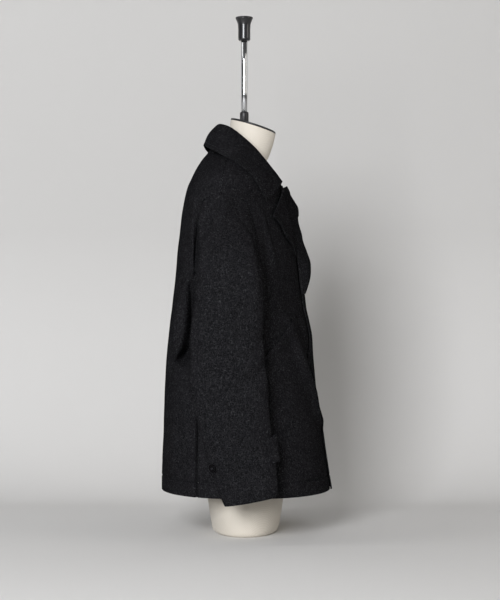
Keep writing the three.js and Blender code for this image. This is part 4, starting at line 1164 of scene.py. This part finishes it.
def smooth_solid(name, base, other, roughness, metallic=0.0, grain_mm=6.0, coat=0.0, gloss=0.5):
    """Hard moulded or turned piece with faint wear in its colour and gloss."""
    material, tree, where = new_material(name)
    cloud = spread_value(tree, noise(tree, where, grain_mm, 4, 0.6, 0.6), 0.3, 0.7)
    colour = mix_colour(tree, cloud, linear(base), linear(other))
    fine = noise(tree, where, grain_mm / 8, 3, 0.6)
    rough = spread_value(tree, fine, 0.3, 0.7, roughness * 0.85, roughness * 1.2)
    bump = add_node(tree, "ShaderNodeBump", Height=fine, Strength=0.08, Distance=0.0002)
    bsdf = add_node(
        tree, "ShaderNodeBsdfPrincipled", Base_Color=colour, Roughness=rough, Metallic=metallic,
        Normal=bump.outputs["Normal"], Coat_Weight=coat, Specular_IOR_Level=gloss,
    )
    finish_material(tree, bsdf)
    return material


WOOL = wool_melton()
LINEN = linen()
# Satin black painted cap and socket of the form's neck.
CAP = smooth_solid("satin_black_cap", "#141416", "#1e1e21", 0.42, grain_mm=9)
# Bright plated steel rod.
CHROME = smooth_solid("chrome_plated_rod", "#c9cacb", "#b4b6b8", 0.14, metallic=1.0, grain_mm=4)
# Black moulded knob.
KNOB_BLACK = smooth_solid("black_moulded_knob", "#101012", "#19191b", 0.3, grain_mm=7, coat=0.2)
# Dark moulded plastic button, nearly without a highlight.
BUTTON_DARK = smooth_solid("dark_button_plastic", "#060607", "#0e0d0f", 0.3, grain_mm=2.4, gloss=0.04)
# Matt charcoal sewing thread.
THREAD = smooth_solid("charcoal_thread", "#1d1d20", "#34343a", 0.8, grain_mm=1.0)


# Stitches: one small rounded stitch repeated along the sewn lines. The fly's is FLY_WIDTH in from its edge.
FLY_LOW_Z, FLY_WIDTH = 100, 52


def offset_path(grid, distance):
    """Path at a distance in from the last column of each row."""
    out = []
    for row in grid:
        back = row[::-1]
        run = np.concatenate([[0], np.cumsum(np.linalg.norm(np.diff(back, axis=0), axis=1))])
        out.append([np.interp(distance, run, back[:, k]) for k in range(3)])
    return np.array(out)


def stitch_run(path, toward, pitch=4.6, sink=0.1):
    """Stitch places on a path: middle, direction and outward direction, from a function for the last."""
    run = np.concatenate([[0], np.cumsum(np.linalg.norm(np.diff(path, axis=0), axis=1))])
    at = np.arange(pitch, run[-1] - pitch, pitch)
    middle = np.stack([np.interp(at, run, path[:, k]) for k in range(3)], 1)
    ahead = np.stack([np.interp(at + 1.0, run, path[:, k]) for k in range(3)], 1)
    along = ahead - middle
    along /= np.linalg.norm(along, axis=1)[:, None]
    out = np.stack([np.interp(at, run, toward[:, k]) for k in range(3)], 1)
    out -= along * np.sum(out * along, 1)[:, None]
    out /= np.linalg.norm(out, axis=1)[:, None]
    return [(m - o * sink, a, o) for m, a, o in zip(middle, along, out)]


def stitches(name, places, length=2.9, thick=0.42):
    """Mesh of all the stitches of one piece, set out by Geometry Nodes."""
    mesh = bpy.data.meshes.new(name + "_points")
    mesh.from_pydata([tuple(p[0] * 0.001) for p in places], [], [])
    turn = mesh.attributes.new("turn", "FLOAT_VECTOR", "POINT")
    for k, (_, along, out) in enumerate(places):
        side = np.cross(out, along)
        matrix = Matrix([[along[i], side[i], out[i]] for i in range(3)])
        turn.data[k].vector = matrix.to_euler("XYZ")
    source = bpy.data.objects.new(name + "_source", mesh)
    bpy.context.scene.collection.objects.link(source)
    tree = bpy.data.node_groups.new(name + "_nodes", "GeometryNodeTree")
    tree.interface.new_socket("Geometry", in_out="INPUT", socket_type="NodeSocketGeometry")
    tree.interface.new_socket("Geometry", in_out="OUTPUT", socket_type="NodeSocketGeometry")
    start = tree.nodes.new("NodeGroupInput")
    one = add_node(tree, "GeometryNodeMeshUVSphere", Segments=6, Rings=4, Radius=0.5).outputs["Mesh"]
    turned = add_node(tree, "GeometryNodeInputNamedAttribute", {"data_type": "FLOAT_VECTOR"}, Name="turn")
    copies = add_node(
        tree, "GeometryNodeInstanceOnPoints", Points=start.outputs[0], Instance=one,
        Rotation=turned.outputs["Attribute"], Scale=(length * 0.001, thick * 0.001, thick * 0.001),
    ).outputs["Instances"]
    real = add_node(tree, "GeometryNodeRealizeInstances", Geometry=copies).outputs["Geometry"]
    done = add_node(tree, "GeometryNodeSetMaterial", Geometry=real, Material=THREAD).outputs["Geometry"]
    end = tree.nodes.new("NodeGroupOutput")
    tree.links.new(done, end.inputs[0])
    modifier = source.modifiers.new("stitches", "NODES")
    modifier.node_group = tree
    bpy.context.view_layer.update()
    made = bpy.data.meshes.new_from_object(source.evaluated_get(bpy.context.evaluated_depsgraph_get()))
    obj = bpy.data.objects.new(name, made)
    bpy.context.scene.collection.objects.link(obj)
    bpy.data.objects.remove(source)
    bpy.data.node_groups.remove(tree)
    for polygon in made.polygons:
        polygon.use_smooth = True
    if not made.materials:
        made.materials.append(THREAD)
    return obj


def outward_of(grid, other):
    """Outward direction at each point of an outer grid, from its inner grid."""
    n = grid - other
    return n / np.maximum(np.linalg.norm(n, axis=-1, keepdims=True), 1e-9)


def tube(name, paths, radius, material, sides=8):
    """Round threads along short paths."""
    vertices, faces = [], []
    for path in paths:
        path = np.array(path)
        base = len(vertices)
        for i, p in enumerate(path):
            d = path[min(i + 1, len(path) - 1)] - path[max(i - 1, 0)]
            d /= np.linalg.norm(d)
            a = np.cross(d, [0.3, 0.5, 0.81])
            a /= np.linalg.norm(a)
            b = np.cross(d, a)
            for k in range(sides):
                t = 2 * math.pi * k / sides
                vertices.append(p + radius * (a * math.cos(t) + b * math.sin(t)))
        faces += grid_faces(len(path), sides, base, True, False)
        faces.append(tuple(range(base, base + sides))[::-1])
        faces.append(tuple(range(base + (len(path) - 1) * sides, base + len(path) * sides)))
    obj = mesh_object(name, vertices, faces, material)
    turn_out(obj)
    return obj


# The pieces.
def declare(obj, node):
    """Ties a piece to its body and hides the imported solid that it stands in for."""
    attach(obj, "root")
    if node:
        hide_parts(node)
    return obj


def flat_size(grid, ring=False, pick=np.max):
    """Width and length of the flat cut, and its area; pick chooses the length among the columns."""
    rows = np.concatenate([grid, grid[:, :1]], 1) if ring else grid
    across = np.linalg.norm(np.diff(rows, axis=1), axis=-1).sum(1).max()
    down = pick(np.linalg.norm(np.diff(grid, axis=0), axis=-1).sum(0))
    area = grid_area(rows)
    return (float(across) * 0.001, float(down) * 0.001), area


def cloth(obj, node, grid, ring=False, pick=np.max):
    """Ties a sheet of cloth to its body and works out its flat size and area, which nothing uses further."""
    declare(obj, node)
    flat, area = flat_size(grid, ring, pick)
    area = min(area, flat[0] * flat[1])
    return obj


def build_form():
    """Dress form: torso, neck cap, rod socket, rod and knob."""
    low = [0, 1, 2.5, 4, 7, 12, 20]
    levels = np.concatenate([low, np.arange(30, 700, 10), np.arange(700, 822, 3), [822]])
    torso = ring_body("form_torso_linen", [form_ring(z) for z in levels], LINEN)
    declare(torso, "form_torso")
    rings = []
    for rise, shrink in ((0, 0), (2.2, 0), (3.2, 0.25), (3.7, 0.6), (4.0, 1.2)):
        radius = NECK_RADIUS - shrink
        a = 2 * math.pi * np.arange(96) / 96
        y = -radius * 0.955 * np.cos(a)
        rings.append(np.stack([radius * np.sin(a), NECK_Y + y, NECK_Z + rise + NECK_TILT * y], 1))
    declare(ring_body("form_cap_black", rings, CAP), "form_neck_cap")
    foot = NECK_Z + NECK_PLATE + 0.3
    rings = []
    for k, (r, z) in enumerate([(9.6, 0), (9.6, 1.2), (9, 2.2), (9, 849), (8.6, 852), (8, 853)]):
        a = 2 * math.pi * np.arange(48) / 48
        y = r * np.sin(a)
        level = foot + NECK_TILT * (y - NECK_Y) + z if k < 3 else np.full(48, float(z))
        rings.append(np.stack([r * np.cos(a), y, level], 1))
    declare(ring_body("form_socket_black", rings, CAP), "form_rod_socket")
    rod = [(6.2, 853.3), (6.5, 853.6), (6.5, 900), (6.5, 950), (6.5, 998.7), (6.2, 999)]
    declare(ring_body("form_rod_chrome", lathe_rings(rod, 48, 0), CHROME), "form_rod")
    z = np.concatenate([np.linspace(999.3, 1040, 18), np.linspace(1041, 1048.3, 16)])
    profile = [(float(np.interp(v, [k[1] for k in KNOB], [k[0] for k in KNOB])), v) for v in z]
    profile = [(profile[0][0] - 1, 999.3)] + profile + [(13, 1048.6), (8, 1048.8), (2, 1048.9)]
    declare(ring_body("form_knob_black", lathe_rings(profile, 64, 0), KNOB_BLACK), "form_knob")
    return torso


torso = build_form()
right_tab = tab_grids()
PAIRS = {
    "back": back_grid_pair(),
    "front_right": front_grid_pair(RIGHT),
    "front_left": front_grid_pair(LEFT),
    "sleeve_right": sleeve_grid(0, RIGHT),
    "sleeve_left": [mirror_x(grid) for grid in sleeve_grid(LEFT_CREASE_SEED, LEFT)],
    "lapel_right": lapel_grids(RIGHT),
    "lapel_left": lapel_grids(LEFT),
    "collar": collar_grids(),
    "pocket_welt_right": welt_grids(RIGHT),
    "pocket_welt_left": welt_grids(LEFT),
    "cuff_tab_right": right_tab,
    "cuff_tab_left": [mirror_x(grid) for grid in right_tab],
}
PANELS = ("back", "front_right", "front_left")
SLEEVES = ("sleeve_right", "sleeve_left")
shells = {}
for key, (outer, inner) in PAIRS.items():
    bulge = SEAM_BULGE if key in PANELS else SLEEVE_BULGE if key in SLEEVES else EDGE_BULGE
    shells[key] = shell(key + "_cloth", outer, inner, WOOL, ring=key in SLEEVES, bulge=bulge)
for key, mirror in (("cuff_button_right", False), ("cuff_button_left", True)):
    declare(button_mesh(key + "_dark", mirror, BUTTON_DARK), key)


def row_at(grid, level):
    """Row of a grid nearest to a level."""
    return int(np.argmin(np.abs(grid[:, :, 2].mean(axis=1) - level)))


def sewn_lines():
    """Stitch places of each piece."""
    lines = {}

    def line(key, path, toward, **more):
        lines.setdefault(key, []).extend(stitch_run(path, toward, **more))

    for key in PANELS:
        k = row_at(PAIRS[key][0], HEM_Z + STITCH_RISE)
        line(key, PAIRS[key][0][k], outward_of(*PAIRS[key])[k], pitch=9.0)
    fly = PAIRS["front_left"][0]
    keep = [i for i in range(len(fly)) if FLY_LOW_Z < fly[i, 0, 2] < BREAK_Z]
    away = outward_of(*PAIRS["front_left"])[keep][:, ::-1]
    edge = fly[keep][:, ::-1]
    path = offset_path(edge, FLY_WIDTH)
    line("front_left", path, offset_path(away * 1e-3 + edge, FLY_WIDTH) - path)
    for key in SLEEVES:
        outer = PAIRS[key][0]
        k = row_at(outer, SLEEVE_HEM_Z + WALL / 2 + SLEEVE_STITCH_RISE)
        loop = np.concatenate([outer[k], outer[k][:1]])
        out = outward_of(*PAIRS[key])[k]
        line(key, loop, np.concatenate([out, out[:1]]), pitch=9.0)
    for key in ("lapel_right", "lapel_left"):
        path = offset_path(PAIRS[key][0], 6)
        line(key, path, path - offset_path(PAIRS[key][1], 6))
    fall = [grid[:, :FALL_POINTS][:, ::-1] for grid in PAIRS["collar"]]
    path = offset_path(fall[0], 7)
    line("collar", path, path - offset_path(fall[1], 7))
    for key in ("cuff_tab_right", "cuff_tab_left"):
        for flip in (1, -1):
            turned = [grid.transpose(1, 0, 2)[:, ::flip] for grid in PAIRS[key]]
            path = offset_path(turned[0], 5)
            line(key, path, path - offset_path(turned[1], 5))
    return lines


def button_threads(mirror):
    """Two pairs of threads over the middle of a cuff button."""
    at, face, across, up = button_frame()
    paths = []
    for sx in (-HOLE_OFFSET, HOLE_OFFSET):
        for k in (-0.22, 0.22):
            row = []
            for t in np.linspace(-1, 1, 9):
                rise = 2.3 + 0.55 * (1 - t * t) - (0.9 if abs(t) == 1 else 0)
                row.append(at + face * (BUTTON_GAP + rise) + across * (sx + k) + up * HOLE_OFFSET * t)
            paths.append(row)
    paths = np.array(paths)
    return mirror_x(paths) if mirror else paths


threads = {key: stitches(key + "_stitches", places) for key, places in sewn_lines().items()}
for obj in threads.values():
    declare(obj, None)
for side_name, mirror in (("right", False), ("left", True)):
    name = "cuff_button_" + side_name + "_thread"
    declare(tube(name, button_threads(mirror), 0.26, THREAD), None)

# The other cloth that each piece rests on. The panels hang on the form as well.
RESTS_ON = {
    "back": [],
    "front_right": [],
    "front_left": ["front_right"],
    "sleeve_right": ["back", "front_right"],
    "sleeve_left": ["back", "front_left"],
    "lapel_right": ["front_right"],
    "lapel_left": ["front_left"],
    "collar": ["back", "front_right", "front_left"],
    "pocket_welt_right": ["front_right"],
    "pocket_welt_left": ["front_left"],
    "cuff_tab_right": ["sleeve_right"],
    "cuff_tab_left": ["sleeve_left"],
}
for key, below in RESTS_ON.items():
    pick = np.min if key in PANELS else np.max
    cloth(shells[key], key, PAIRS[key][0], ring=key in SLEEVES, pick=pick)


# Stage, light and camera.
def studio():
    """Pale floor that sweeps up into the wall behind the object, with painted light low down."""
    material, tree, where = new_material("studio_paper_grey")
    cloud = noise(tree, where, 900, 2, 0.5)
    base = mix_colour(tree, cloud, linear("#c1c0be"), linear("#c6c5c3"))
    level = add_node(tree, "ShaderNodeSeparateXYZ", Vector=where).outputs["Z"]
    # Painted light: the floor and the foot of the wall are painted lighter, fading into the plain grey 0.65 m
    # up.
    base = mix_colour(tree, spread_value(tree, level, 0, 0.65, 0, 1), linear("#dad9d7"), base)
    bsdf = add_node(tree, "ShaderNodeBsdfPrincipled", Base_Color=base, Roughness=0.9, Specular_IOR_Level=0.2)
    finish_material(tree, bsdf)
    bend_at, bend_radius, steps = 0.4, 0.6, 16
    profile = [(-9.0, 0.0), (bend_at, 0.0)]
    for k in range(1, steps + 1):
        a = math.pi / 2 * k / steps
        profile.append((bend_at + bend_radius * math.sin(a), bend_radius - bend_radius * math.cos(a)))
    profile.append((1.0, 6.0))
    points = [(x * 1000, y * 1000, z * 1000) for x, z in profile for y in (-7.0, 7.0)]
    faces = [(2 * i, 2 * i + 1, 2 * i + 3, 2 * i + 2) for i in range(len(profile) - 1)]
    mesh_object("studio_sweep", points, faces, material)


def area_light(name, place, aim, size, power, colour="#ffffff"):
    """Rectangular light at place, turned to aim."""
    data = bpy.data.lights.new(name, "AREA")
    data.shape = "RECTANGLE"
    data.size, data.size_y = size
    data.energy = power
    data.color = linear(colour)[:3]
    obj = bpy.data.objects.new(name, data)
    obj.location = place
    obj.rotation_euler = (Vector(aim) - Vector(place)).to_track_quat("-Z", "Y").to_euler()
    bpy.context.scene.collection.objects.link(obj)


studio()
area_light("window_front", (-4.2, 1.05, 1.45), (0, 0, 0.5), (1.4, 1.4), 208, "#fbfcff")
area_light("window_right", (-1.6, -3.8, 1.7), (0, 0, 0.5), (2.0, 2.0), 34, "#fffaf4")
area_light("wall_wash", (-0.8, 2.6, 2.6), (1.0, 1.2, 0.8), (1.6, 1.6), 18, "#ffffff")
world = bpy.data.worlds.new("studio_air")
world.use_nodes = True
world.node_tree.nodes["Background"].inputs["Color"].default_value = linear("#dcdcdc")
world.node_tree.nodes["Background"].inputs["Strength"].default_value = 0.15
bpy.context.scene.world = world
bpy.context.scene.view_settings.view_transform = "Standard"

# The view of the photograph: a long lens, from the wearer's right.
camera_data = bpy.data.cameras.new("camera")
camera_data.lens = 108.3
camera_data.sensor_width = 36
camera_data.clip_end = 60
camera = bpy.data.objects.new("camera", camera_data)
camera.location = (-3.7, -0.0118, 0.468)
camera.rotation_euler = (math.radians(90), 0, math.radians(-90))
bpy.context.scene.collection.objects.link(camera)
bpy.context.scene.camera = camera
